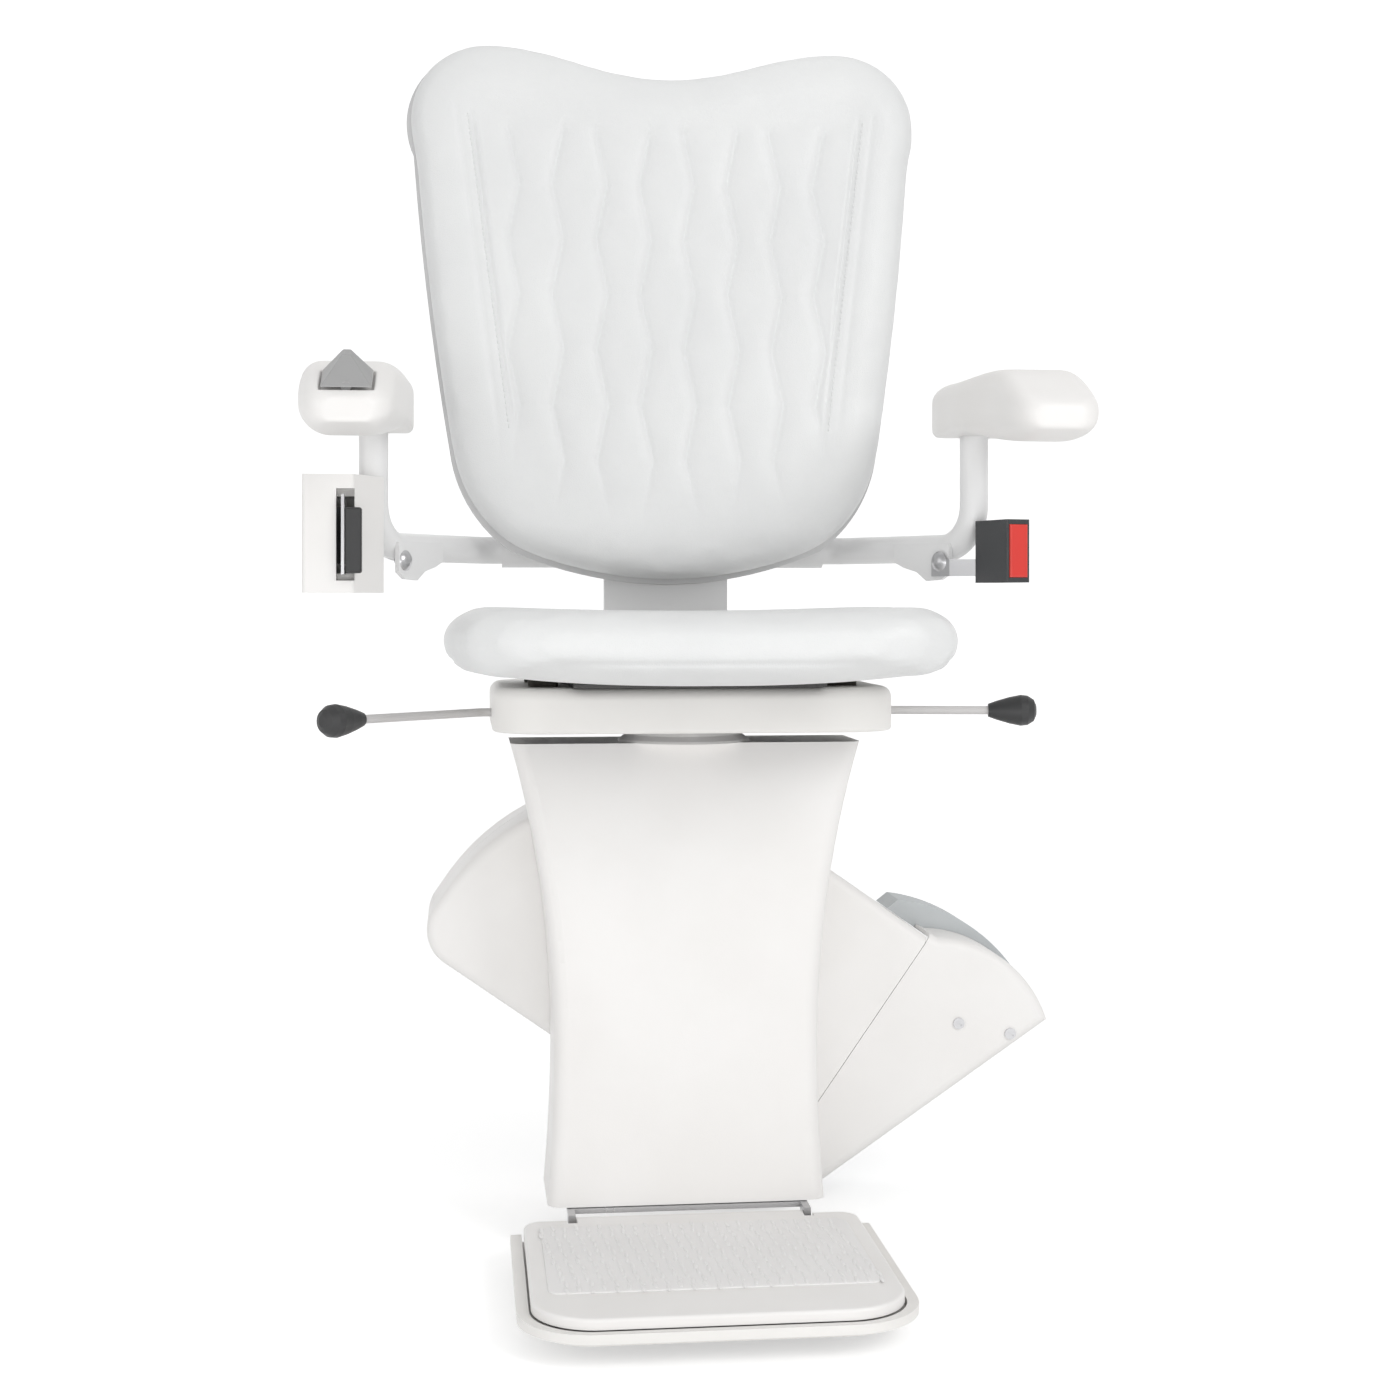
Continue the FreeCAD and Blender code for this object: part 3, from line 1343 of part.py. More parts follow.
SOCKET = 8


def arm_points(side):
    y, z = float(ARM_Y), float(S.arm_level)
    leg = float(FRONT_Y + S.arm_setback)
    turn_x = float(S.pivot_half) + 18
    return [
        (side * float(S.arm_inner), y, z),
        (side * turn_x, y, z),
        (side * float(S.arm_reach), leg, z),
        (side * float(S.arm_reach), leg, float(S.pad_under) + SOCKET),
    ]


def run_frame(side):
    """The level run's direction and the way it faces, towards the front and the middle."""
    points = arm_points(side)
    elbow, inner = Vector(*points[2]), Vector(*points[1])
    along = (inner - elbow).normalize()
    facing = Vector(-side * abs(along.y), -abs(along.x), 0)
    return elbow, along, facing


BOLT_SHANK = 3


def make_arm(side, name):
    bends = [float(S.arm_bend), float(S.elbow_bend)]
    tube = pipe(arm_points(side), float(S.arm_radius), bends)
    elbow, along, facing = run_frame(side)
    level, thick = float(S.arm_level), float(S.gusset_thick)
    outline = [(16, 4), (16, -22), (26, -28), (44, -29), (56, -21), (72, -17), (84, -12), (84, 4)]
    start = elbow + facing * (float(S.arm_radius) - 1.5)
    corners = [start + along * at + Vector(0, 0, up) for at, up in outline]
    gusset = Part.Face(Part.Wire(Part.makePolygon(corners + [corners[0]])))
    gusset = gusset.extrude(facing * thick)
    bolt_at = belt_bolt_spot(side)[0]
    hole = Part.makeCylinder(BOLT_SHANK, 40, bolt_at + facing, facing * -1)
    node(name + "_arm_tube", feature(tube.fuse(gusset).cut(hole)))

    radius = float(S.bolt_radius)
    big = radius * 1.25
    head_at = bolt_at + facing * (float(S.tab_thick) if side > 0 else 0)
    dome = Part.makeSphere(big, head_at - facing * math.sqrt(big * big - radius * radius))
    half_space = Part.makeCylinder(40, 40, head_at, facing)
    shank = Part.makeCylinder(BOLT_SHANK, thick + 6, head_at, facing * -1)
    node(name + "_belt_bolt", feature(dome.common(half_space).fuse(shank)))

    front, rear = float(FRONT_Y - S.pad_front), float(FRONT_Y + S.pad_rear)
    inner, outer = float(S.pad_inner), float(S.pad_outer)
    top, under, nose = float(S.pad_top), float(S.pad_under), float(S.pad_nose)
    slices = [
        (0.0, 25, 22, nose + 6, top - 38, 7, 7),
        (0.035, 14, 9, nose + 4, top - 31, 11, 13),
        (0.10, 9, 2, nose + 1, top - 22, 16, 20),
        (0.20, 8, 0, nose, top - 9, 18, 24),
        (0.33, 6, 0, nose + 3, top - 1, 16, 22),
        (0.58, 1, 0, under - 4, top, 14, 12),
        (0.72, 0, 0, under, top, 12, 7),
        (0.96, 0, 0, under, top, 12, 6),
        (1.0, 2, 2, under + 2, top - 2, 10, 6),
    ]
    wires = []
    for at, inset_in, inset_out, low, high, r_top, r_foot in slices:
        edges = sorted((side * (inner + inset_in), side * (outer - inset_out)))
        wires.append(
            rounded_section(
                front + at * (rear - front), edges[0], edges[1], low, high, r_top, r_foot
            )
        )
    leg = Vector(side * float(S.arm_reach), float(FRONT_Y + S.arm_setback), under - 20)
    pad = lofted(wires).cut(Part.makeCylinder(float(S.arm_radius), SOCKET + 20, leg))
    if side < 0:
        pad = pad.cut(rocker_bed())
    node(name + "_arm_pad", feature(pad))


def make_pivot_tube():
    inner = S.arm_radius + S.run_gap
    outer = inner + S.pivot_wall
    start = (-S.pivot_half, ARM_Y, S.arm_level)
    body = rod(outer, start, S.pivot_half * 2, "X")
    saddle = box(
        (-50, 50),
        (UPRIGHT_Y + S.upright_thick, ARM_Y),
        (S.arm_level - 12, S.arm_level + 12),
    )
    DOC.recompute()
    solid = fuse(body, saddle)
    bore = rod(inner, (-S.pivot_half - 1, ARM_Y, S.arm_level), S.pivot_half * 2 + 2, "X")
    strap = DOC.getObject("back_upright")
    node("arm_pivot_tube", cut(solid, strap, bore))


# Belt: the retractor box on the left arm, the buckle on the right

def make_retractor():
    y0 = float(FRONT_Y + S.box_front)
    y1 = y0 + float(S.box_depth)
    z0 = float(S.box_bottom)
    z1 = z0 + float(S.box_height)
    reach, wall = float(S.arm_reach), float(S.box_wall)
    outer = reach + float(S.box_out)
    corner = reach + float(S.box_corner)
    inner = reach - float(S.box_in)
    shape = Part.Face(
        polygon([(-outer, y0, z0), (-corner, y0, z0), (-inner, y1 - 6, z0), (-inner, y1, z0), (-outer, y1, z0)])
    ).extrude(Vector(0, 0, z1 - z0))
    edges = [
        edge
        for edge in shape.Edges
        if runs_along(edge, Vector(0, 0, 1)) and edge.CenterOfMass.y < y1 - 8
    ]
    shape = shape.makeFillet(4, edges)
    slot_z = (z0 + z1) / 2 - 1
    tall = float(S.slot_half)
    slot = solid_block(-corner - 14, -corner + 1, y0 - 1, y0 + 14, slot_z - tall, slot_z + tall)
    room = solid_block(-outer + wall, -corner + 1, y0 + 10, y1 - 4, slot_z - 32, slot_z + 32)
    shape = shape.cut(slot).cut(room)
    shape = shape.cut(pipe(arm_points(-1), float(S.arm_radius), [float(S.arm_bend), float(S.elbow_bend)]))
    node("retractor_housing", feature(shape))

    web_x = -corner - 7
    thick = float(S.web_thick)
    spool_end = web_x - float(S.soft_gap)
    radius = (spool_end + outer - wall - float(S.spool_gap)) / 2
    spool_x = spool_end - radius
    spool_y = y1 - 4 - radius - 4
    half = float(S.web_half)
    drum = Part.makeCylinder(radius, 2 * half, Vector(spool_x, spool_y, slot_z - half))
    stub = Part.makeCylinder(4, 64, Vector(spool_x, spool_y, slot_z - 32))
    node("retractor_spool", feature(drum.fuse(stub)))
    strip = solid_block(web_x, web_x + thick, y0 - 4, spool_y + 4, slot_z - half, slot_z + half)
    node("belt_webbing", feature(strip))
    plate = solid_block(web_x - 2.5, web_x, y0 - 8, y0 + 8, slot_z - 33, slot_z + 33)
    window = solid_block(web_x - 3, web_x + 0.1, y0 - 5, y0 + 1, slot_z - 24, slot_z + 24)
    node("belt_tongue", feature(plate.cut(window)))
    grip = solid_block(
        web_x + thick, web_x + thick + 13, y0 - 14, y0 - 2, slot_z - 32, slot_z + 22
    )
    node("tongue_grip", feature(grip.makeFillet(2, grip.Edges)))


def belt_bolt_spot(side):
    """Where a belt bolt meets the gusset's face, with the run's two directions."""
    elbow, along, facing = run_frame(side)
    spot = elbow + facing * (float(S.arm_radius) - 1.5 + float(S.gusset_thick))
    return spot + along * 26 + Vector(0, 0, -12), along, facing


def make_buckle():
    """A buckle on a bent steel tab that the right belt bolt holds to its gusset."""
    wide, deep, tall = float(S.buckle_width), float(S.buckle_length), float(S.buckle_height)
    turn = float(S.buckle_turn)
    root = Vector(float(S.arm_reach) - 4, float(FRONT_Y) + 62, float(S.arm_level) - 4)

    def turned(shape):
        shape.rotate(Vector(), Vector(0, 0, 1), turn)
        shape.translate(root)
        return shape

    bolt, along, facing = belt_bolt_spot(1)
    thick, low, high = float(S.tab_thick), float(S.arm_level) - 25, float(S.arm_level) - 10
    entry = FreeCAD.Rotation(Vector(0, 0, 1), turn)
    ahead, across = entry.multVec(Vector(0, -1, 0)), entry.multVec(Vector(1, 0, 0))
    inlet = root + across * 8 - ahead
    path = [bolt + along * 9, bolt - along * 13, inlet, inlet + ahead * 16]
    path = [Vector(point.x, point.y, low) for point in path]
    inner = path[:2]
    outer = [point + facing * thick for point in inner]
    inner += [path[2] + across * thick, path[3] + across * thick]
    outer += path[2:]
    tab = Part.Face(Part.makePolygon(inner + outer[::-1] + [inner[0]]))
    tab = tab.extrude(Vector(0, 0, high - low))
    tab = tab.cut(Part.makeCylinder(BOLT_SHANK, 40, bolt + facing * 20, facing * -1))
    node("buckle_tab", feature(tab))

    body = solid_block(0, wide, -deep, 0, -tall / 2, tall / 2)
    rear = [e for e in body.Edges if e.BoundBox.YMin > -1 and e.BoundBox.YLength < 1]
    body = body.makeChamfer(4, rear)
    pocket = solid_block(2, wide - 2, -deep - 1, 9 - deep, 4 - tall / 2, tall / 2 - 4)
    body = turned(body.cut(pocket)).cut(tab)
    node("buckle_body", feature(body))
    button = solid_block(2.3, wide - 2.3, -deep - 2, 4.5 - deep, 4.3 - tall / 2, tall / 2 - 4.3)
    button = button.makeFillet(1.5, [e for e in button.Edges if e.BoundBox.YMax < -deep - 1.9])
    node("buckle_button", feature(turned(button)))


ROCKER_TILT = 26
ROCKER_BACK = 27
KEEL = 4


def on_nose(shape):
    """Moves a rocker piece from its own flat frame onto the left pad's sloped nose."""
    x = -(float(S.pad_inner) + float(S.pad_outer)) / 2 - 3
    y = float(FRONT_Y - S.pad_front) + ROCKER_BACK
    shape.rotate(Vector(), Vector(1, 0, 0), ROCKER_TILT)
    shape.translate(Vector(x, y, float(S.pad_top) - 21))
    return shape


def rocker_bed():
    """The pocket that the rocker sits and tilts in."""
    half, gap = float(S.rocker_half) + 1.5, float(S.soft_gap)
    return on_nose(solid_block(-half, half, -half, half, -KEEL - gap, 40))


def make_rocker():
    """The direction rocker: a blunt wedge with a keel, on the left pad's nose."""
    half, rise = float(S.rocker_half), float(S.rocker_rise)
    base = [(-half, -half), (half, -half), (half, half), (-half, half)]
    peak = [(-3, -3), (3, -3), (3, 9), (-3, 9)]
    low = polygon([(a, b, 0) for a, b in base])
    high = polygon([(a, b, rise) for a, b in peak])
    wedge = lofted([low, high], ruled=True)
    wedge = wedge.makeFillet(1.5, [e for e in wedge.Edges if e.BoundBox.ZMax > rise * 0.5])
    keel = y_rod(KEEL, 0, 2 - half, 0, 2 * half - 4)
    node("direction_rocker", feature(on_nose(wedge.fuse(keel))))


# Build, check and write

def check_and_write():
    DOC.recompute()
    for item in DOC.Objects:
        bad = [state for state in item.State if state in ("Invalid", "Error")]
        if bad:
            raise ValueError("%s is %s" % (item.Label, bad))
    os.makedirs("parts", exist_ok=True)
    names = [item.Label for item in NODES]
    if len(set(names)) != len(names):
        raise ValueError("a name is used twice")
    for item in NODES:
        shape = item.Shape
        if shape.isNull() or not shape.isValid() or not shape.Solids:
            raise ValueError("%s has no valid solid" % item.Label)
        shape.exportStep("parts/%s.step" % item.Label)
    print("%d sub-parts written" % len(NODES))


make_main_cover()
make_lower_end_cap()
make_cover_screws()
make_chassis_plate()
make_rollers()
make_drive()
make_carriage_insides()
make_upper_safety_edge()
make_lower_safety_edge()
make_column()
make_footrest()
make_seat_base()
make_backrest()
make_seat()
make_levers()
make_pivot_tube()
make_arm(-1, "left")
make_arm(1, "right")
make_retractor()
make_buckle()
make_rocker()
check_and_write()
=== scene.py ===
import json
import math

import bmesh
import bpy
import numpy as np
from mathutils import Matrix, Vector
from mathutils.bvhtree import BVHTree


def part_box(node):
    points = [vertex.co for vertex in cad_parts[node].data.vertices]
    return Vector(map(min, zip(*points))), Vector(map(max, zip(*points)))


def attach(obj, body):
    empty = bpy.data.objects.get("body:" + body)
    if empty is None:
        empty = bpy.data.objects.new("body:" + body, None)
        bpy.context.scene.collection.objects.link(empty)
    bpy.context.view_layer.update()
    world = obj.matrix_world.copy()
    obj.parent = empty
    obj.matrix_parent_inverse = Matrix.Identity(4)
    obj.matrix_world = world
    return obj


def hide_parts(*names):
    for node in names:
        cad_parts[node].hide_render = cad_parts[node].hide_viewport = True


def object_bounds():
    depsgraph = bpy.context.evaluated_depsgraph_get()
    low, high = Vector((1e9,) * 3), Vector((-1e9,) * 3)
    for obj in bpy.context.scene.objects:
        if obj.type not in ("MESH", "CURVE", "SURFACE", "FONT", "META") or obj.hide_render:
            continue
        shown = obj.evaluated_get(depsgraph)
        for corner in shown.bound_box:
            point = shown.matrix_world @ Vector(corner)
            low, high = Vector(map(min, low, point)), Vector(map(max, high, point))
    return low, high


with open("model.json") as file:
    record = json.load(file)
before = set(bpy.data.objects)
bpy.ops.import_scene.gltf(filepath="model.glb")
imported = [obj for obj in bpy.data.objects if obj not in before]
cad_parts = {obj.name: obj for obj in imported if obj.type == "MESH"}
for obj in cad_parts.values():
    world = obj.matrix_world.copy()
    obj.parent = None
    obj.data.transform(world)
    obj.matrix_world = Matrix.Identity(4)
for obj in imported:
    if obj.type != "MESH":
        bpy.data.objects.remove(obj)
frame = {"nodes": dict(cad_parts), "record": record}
CAD_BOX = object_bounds()

bl_info = {
    "name": "Stairlift Chair",
    "version": (1, 0, 0),
    "blender": (4, 5, 0),
    "location": "View3D > Sidebar > Stairlift",
    "description": "Dresses the packed stairlift chair with upholstery, grips and finishes",
    "category": "Object",
}

# Places repeated from the part's source, in metres, and the backrest's lean in degrees
UPRIGHT_Y = -0.046
BACK_LEAN = 5.0
BACK_FOOT = 0.313
BACK_HALF = 0.234
BACK_PEAK = 0.500
BACK_DIP = 0.472
BACK_FACE = -0.049
BACK_SHELL = -0.005
SEAT_FRONT = -0.450
SEAT_REAR = -0.126
SEAT_MIDDLE = (SEAT_FRONT + SEAT_REAR) / 2
SEAT_HALF = 0.210
SEAT_TOP = 0.292
SEAT_FLOOR = 0.2343
PAN_HALF = 0.100
PAN_FRONT = -0.335
PAN_TOP = 0.2340
BUFFER_ACROSS = (-0.122, 0.122)
BUFFER_ALONG = (-0.271, -0.173)
BUFFER_HALF = 0.012
BUFFER_TOP = 0.2373
ROCKER_SPOT = (-0.273, -0.373, 0.467)
ROCKER_REACH = 0.036

# The soft pieces: mesh step, how far filling may swell them, and room round what they rest on
CLOTH_STEP = 0.0055
BACK_SWELL = 0.0030
SEAT_SWELL = 0.0045
REST_GAP = 0.0001
PAN_MARGIN = 0.004
PAN_GAP = 0.0002
BUFFER_MARGIN = 0.0025
BUFFER_GAP = 0.0004

# The quilted panel and its sewing, in the backrest's own frame
PANEL_LOW = 0.130
PANEL_TALL = 0.290
PANEL_TOP = 0.432
PANEL_LOW_HALF = 0.1405
PANEL_SPREAD = 0.037
QUILT_TOP = 0.415
QUILT_LOW = 0.085
GROOVE_WIDTH = 0.0022
GROOVE_DEPTH = 0.0026
TWIN_GAP = 0.013
TWIN_WIDTH = 0.0030
TWIN_DEPTH = 0.0013
FOLD_WIDTH = 0.0085
THREAD_WIDTH = 0.0020
THREAD_SHARE = 0.45
QUILT_PUFF = 0.0012
SEAM_TOP = 0.418
SEAM_TALL = 0.285
SEAM_OUTSIDE = 0.0045
SEAM_STEPS = 60
SEAM_AHEAD = -0.12
STITCH_SPACING = 0.0055
STITCH_LIFT = 0.00015

# Mesh steps of the arm pads, finer on the side with the rocker's bed
PAD_STEP = {"left": 0.0015, "right": 0.0022}

# The seat cushion's inset before it is filled, its side seam and its underside
SEAT_INSET = 0.003
SIDE_SEAM_UP = 0.2525
SIDE_SEAM_WIDTH = 0.0016
SIDE_SEAM_DEPTH = 0.0016
UNDERSIDE_RISE = 0.0145
UNDERSIDE_HALF = 0.2
UNDERSIDE_EASE = 0.0016

# The tread mat and its dashes: rates are in radians per metre, turns in radians
MAT_CORNER = 0.010
DASH_MARGIN = 0.014
DASH_SINK = 0.00005
DASH_SWAY = 0.0011
DASH_SWAY_RATE = 190.0
DASH_STAGGER = 0.0034
DASH_STAGGER_RATE = 347.0
DASH_TURN = (-0.10, 0.16)

# The studio floor and its curved backdrop
FLOOR_GAP = 0.012
SWEEP_FRONT = -4.0
SWEEP_FOOT = 1.4
SWEEP_ROUND = 0.9
SWEEP_TOP = 5.0
SWEEP_HALF = 6


# Small tools

def settings():
    """The sizes and levels that a user may change."""
    return bpy.context.scene.stairlift


def made(name, points, faces):
    """A linked mesh object with its place in its mesh."""
    mesh = bpy.data.meshes.new(name)
    mesh.from_pydata([tuple(map(float, p)) for p in points], [], [tuple(f) for f in faces])
    mesh.validate()
    mesh.shade_smooth()
    piece = bpy.data.objects.new(name, mesh)
    bpy.context.scene.collection.objects.link(piece)
    return piece


def places(mesh):
    """The mesh's points as rows of x, y and z."""
    flat = np.zeros(len(mesh.vertices) * 3, np.float32)
    mesh.vertices.foreach_get("co", flat)
    return flat.reshape(-1, 3).astype(float)


def set_places(mesh, points):
    """Puts the mesh's points where the rows say."""
    mesh.vertices.foreach_set("co", points.astype(np.float32).ravel())
    mesh.update()


def baked(piece):
    """Turns what the modifiers give into the piece's own mesh and removes them."""
    bpy.context.view_layer.update()
    graph = bpy.context.evaluated_depsgraph_get()
    mesh = bpy.data.meshes.new_from_object(piece.evaluated_get(graph))
    piece.modifiers.clear()
    old, piece.data = piece.data, mesh
    mesh.name = piece.name
    bpy.data.meshes.remove(old)


def arc_points(a, b, c, count):
    """Points along the arc through three flat points, the last one left out."""
    (ax, ay), (bx, by), (cx, cy) = a, b, c
    d = 2 * (ax * (by - cy) + bx * (cy - ay) + cx * (ay - by))
    if abs(d) < 1e-12:
        return [(ax + (cx - ax) * t / count, ay + (cy - ay) * t / count) for t in range(count)]
    sa, sb, sc = ax * ax + ay * ay, bx * bx + by * by, cx * cx + cy * cy
    ox = (sa * (by - cy) + sb * (cy - ay) + sc * (ay - by)) / d
    oy = (sa * (cx - bx) + sb * (ax - cx) + sc * (bx - ax)) / d
    radius = math.hypot(ax - ox, ay - oy)
    start, mid, end = (math.atan2(y - oy, x - ox) for x, y in (a, b, c))
    turn = (end - start) % (2 * math.pi)
    if (mid - start) % (2 * math.pi) > turn:
        turn -= 2 * math.pi
    return [
        (
            ox + radius * math.cos(start + turn * t / count),
            oy + radius * math.sin(start + turn * t / count),
        )
        for t in range(count)
    ]


def ringed(name, rings):
    """Joins closed rings of equal length into one form with closed ends."""
    count = len(rings[0])
    points = [p for ring in rings for p in ring]
    faces = []
    for r in range(len(rings) - 1):
        for i in range(count):
            j = (i + 1) % count
            a, b = r * count, (r + 1) * count
            faces.append((a + i, a + j, b + j, b + i))
    faces.append(tuple(reversed(range(count))))
    faces.append(tuple((len(rings) - 1) * count + i for i in range(count)))
    piece = made(name, points, faces)
    work = bmesh.new()
    work.from_mesh(piece.data)
    bmesh.ops.recalc_face_normals(work, faces=work.faces)
    work.to_mesh(piece.data)
    work.free()
    return piece


def remeshed(piece, voxel, rounds):
    """Gives a closed form an even mesh with its corners eased."""
    mod = piece.modifiers.new("Even mesh", "REMESH")
    mod.mode = "VOXEL"
    mod.voxel_size = voxel
    soft = piece.modifiers.new("Ease", "SMOOTH")
    soft.factor = 0.5
    soft.iterations = rounds
    baked(piece)


def plump(piece, pressure, cap, frames=20):
    """Swells a closed form like filled upholstery: cloth under inner pressure, capped."""
    remeshed(piece, CLOTH_STEP, 3)
    start = places(piece.data)
    cloth = piece.modifiers.new("Filling", "CLOTH")
    cloth.settings.quality = 4
    cloth.settings.mass = 0.3
    cloth.settings.tension_stiffness = 12
    cloth.settings.compression_stiffness = 12
    cloth.settings.bending_stiffness = 1.5
    cloth.settings.use_pressure = True
    cloth.settings.uniform_pressure_force = pressure
    cloth.settings.effector_weights.gravity = 0
    cloth.point_cache.frame_start = 1
    cloth.point_cache.frame_end = frames
    scene = bpy.context.scene
    for step in range(1, frames + 1):
        scene.frame_set(step)
    graph = bpy.context.evaluated_depsgraph_get()
    swollen = piece.evaluated_get(graph)
    mesh = swollen.to_mesh()
    move = places(mesh) - start
    swollen.to_mesh_clear()
    piece.modifiers.clear()
    scene.frame_set(1)
    reach = np.linalg.norm(move, axis=1, keepdims=True)
    move *= np.minimum(1.0, cap / np.maximum(reach, 1e-9))
    set_places(piece.data, start + move)


def finer(piece):
    """Splits every face once and rounds the result."""
    mod = piece.modifiers.new("Finer", "SUBSURF")
    mod.levels = 1
    mod.render_levels = 1
    baked(piece)


def ease(value, low, high):
    """0 below low, 1 above high, and a smooth rise between them."""
    t = np.clip((value - low) / (high - low), 0, 1)
    return t * t * (3 - 2 * t)


def dent(distance, width, power):
    """1 on a line and falling to 0 on both sides of it."""
    return np.exp(-(np.abs(distance / width) ** power))


def dress(piece, body, slot, *nodes):
    """Gives a new piece its finish and body, and hides the CAD nodes that it stands for."""
    piece.data.materials.clear()
    piece.data.materials.append(finish_of(slot))
    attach(piece, body)
    if nodes:
        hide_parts(*nodes)


# Finishes

def new_group(name, inputs, outputs):
    """A shader group with its named sockets, and its two end nodes."""
    tree = bpy.data.node_groups.new(name, "ShaderNodeTree")
    for label, kind, value in inputs:
        socket = tree.interface.new_socket(label, in_out="INPUT", socket_type=kind)
        if value is not None:
            socket.default_value = value
    for label, kind in outputs:
        tree.interface.new_socket(label, in_out="OUTPUT", socket_type=kind)
    return tree, tree.nodes.new("NodeGroupInput"), tree.nodes.new("NodeGroupOutput")


def math_node(tree, operation, *values):
    """The result of one sum on numbers or sockets."""
    node = tree.nodes.new("ShaderNodeMath")
    node.operation = operation
    for socket, value in zip(node.inputs, values):
        if isinstance(value, (int, float)):
            socket.default_value = value
        else:
            tree.links.new(value, socket)
    return node.outputs[0]


def span(tree, value, low, high, to_low, to_high):
    """A value moved from one range to another."""
    node = tree.nodes.new("ShaderNodeMapRange")
    node.inputs["From Min"].default_value = low
    node.inputs["From Max"].default_value = high
    node.inputs["To Min"].default_value = to_low
    node.inputs["To Max"].default_value = to_high
    tree.links.new(value, node.inputs["Value"])
    return node.outputs[0]


def noise_node(tree, vector, scale, detail):
    """Noise at a scale that is a number or a socket."""
    node = tree.nodes.new("ShaderNodeTexNoise")
    node.inputs["Detail"].default_value = detail
    tree.links.new(vector, node.inputs["Vector"])
    if isinstance(scale, (int, float)):
        node.inputs["Scale"].default_value = scale
    else:
        tree.links.new(scale, node.inputs["Scale"])
    return node.outputs[0]


def mixed(tree, share, first, second):
    """Two colours, each a value or a socket, mixed by a share."""
    mix = tree.nodes.new("ShaderNodeMix")
    mix.data_type = "RGBA"
    tree.links.new(share, mix.inputs[0])
    for socket, colour in ((mix.inputs[6], first), (mix.inputs[7], second)):
        if isinstance(colour, tuple):
            socket.default_value = (*colour, 1)
        else:
            tree.links.new(colour, socket)
    return mix.outputs[2]


def grain_group(name):
    """A group that gives the relief and the patches at a place on a surface."""
    inputs = [
        ("Vector", "NodeSocketVector", None),
        ("Grain Scale", "NodeSocketFloat", 900.0),
        ("Patch Scale", "NodeSocketFloat", 9.0),
    ]
    return new_group(name, inputs, [("Height", "NodeSocketFloat"), ("Patches", "NodeSocketFloat")])


def wide_patches(tree, src, dst, detail, low=0.35, high=0.65):
    """Wide soft patches at the group's patch scale."""
    wide = noise_node(tree, src.outputs["Vector"], src.outputs["Patch Scale"], detail)
    tree.links.new(span(tree, wide, low, high, 0.0, 1.0), dst.inputs["Patches"])


def moulded_grain():
    """The fine even grain of moulded plastic, rubber and paint."""
    tree, src, dst = grain_group("Moulded Grain")
    fine = noise_node(tree, src.outputs["Vector"], src.outputs["Grain Scale"], 3.0)
    tree.links.new(span(tree, fine, 0.3, 0.7, 0.0, 1.0), dst.inputs["Height"])
    wide_patches(tree, src, dst, 4.0)
    return tree


def leather_grain():
    """The pebbled cells of leatherette over a soft ripple."""
    tree, src, dst = grain_group("Leather Grain")
    cells = tree.nodes.new("ShaderNodeTexVoronoi")
    cells.feature = "DISTANCE_TO_EDGE"
    tree.links.new(src.outputs["Vector"], cells.inputs["Vector"])
    tree.links.new(src.outputs["Grain Scale"], cells.inputs["Scale"])
    pebble = span(tree, cells.outputs["Distance"], 0.0, 0.28, 0.0, 1.0)
    ripple = noise_node(tree, src.outputs["Vector"], 160.0, 3.0)
    tree.links.new(math_node(tree, "MULTIPLY_ADD", ripple, 0.6, pebble), dst.inputs["Height"])
    wide_patches(tree, src, dst, 5.0)
    return tree


def brushed_lines():
    """Long fine lines that run along X, as brushing leaves them on steel."""
    tree, src, dst = grain_group("Brushed Lines")
    stretch = tree.nodes.new("ShaderNodeMapping")
    stretch.inputs["Scale"].default_value = (0.04, 1.0, 1.0)
    tree.links.new(src.outputs["Vector"], stretch.inputs["Vector"])
    lines = noise_node(tree, stretch.outputs[0], src.outputs["Grain Scale"], 4.0)
    tree.links.new(lines, dst.inputs["Height"])
    wide_patches(tree, src, dst, 3.0, 0.3, 0.7)
    return tree


def woven_web():
    """Crossed waves of warp and weft, for the belt."""
    tree, src, dst = grain_group("Woven Web")
    waves = []
    for direction in ("Z", "Y"):
        wave = tree.nodes.new("ShaderNodeTexWave")
        wave.bands_direction = direction
        wave.inputs["Distortion"].default_value = 0.4
        tree.links.new(src.outputs["Vector"], wave.inputs["Vector"])
        tree.links.new(src.outputs["Grain Scale"], wave.inputs["Scale"])
        waves.append(wave.outputs["Fac"])
    tree.links.new(math_node(tree, "MAXIMUM", *waves), dst.inputs["Height"])
    tree.links.new(math_node(tree, "MULTIPLY", *waves), dst.inputs["Patches"])
    return tree


def edge_rub():
    """1 along sharp edges, where hands and shoes rub the surface."""
    width = ("Width", "NodeSocketFloat", 0.0015)
    tree, src, dst = new_group("Edge Rub", [width], [("Mask", "NodeSocketFloat")])
    bevel = tree.nodes.new("ShaderNodeBevel")
    bevel.samples = 4
    tree.links.new(src.outputs["Width"], bevel.inputs["Radius"])
    facing = tree.nodes.new("ShaderNodeNewGeometry")
    dot = tree.nodes.new("ShaderNodeVectorMath")
    dot.operation = "DOT_PRODUCT"
    tree.links.new(bevel.outputs[0], dot.inputs[0])
    tree.links.new(facing.outputs["Normal"], dot.inputs[1])
    tree.links.new(span(tree, dot.outputs["Value"], 0.98, 0.75, 0.0, 1.0), dst.inputs["Mask"])
    return tree


EFFECTS = {
    "moulded": moulded_grain,
    "leather": leather_grain,
    "brushed": brushed_lines,
    "woven": woven_web,
    "edge": edge_rub,
}

# What is made so far, by effect and by slot
GROUPS = {}
FINISHES = {}


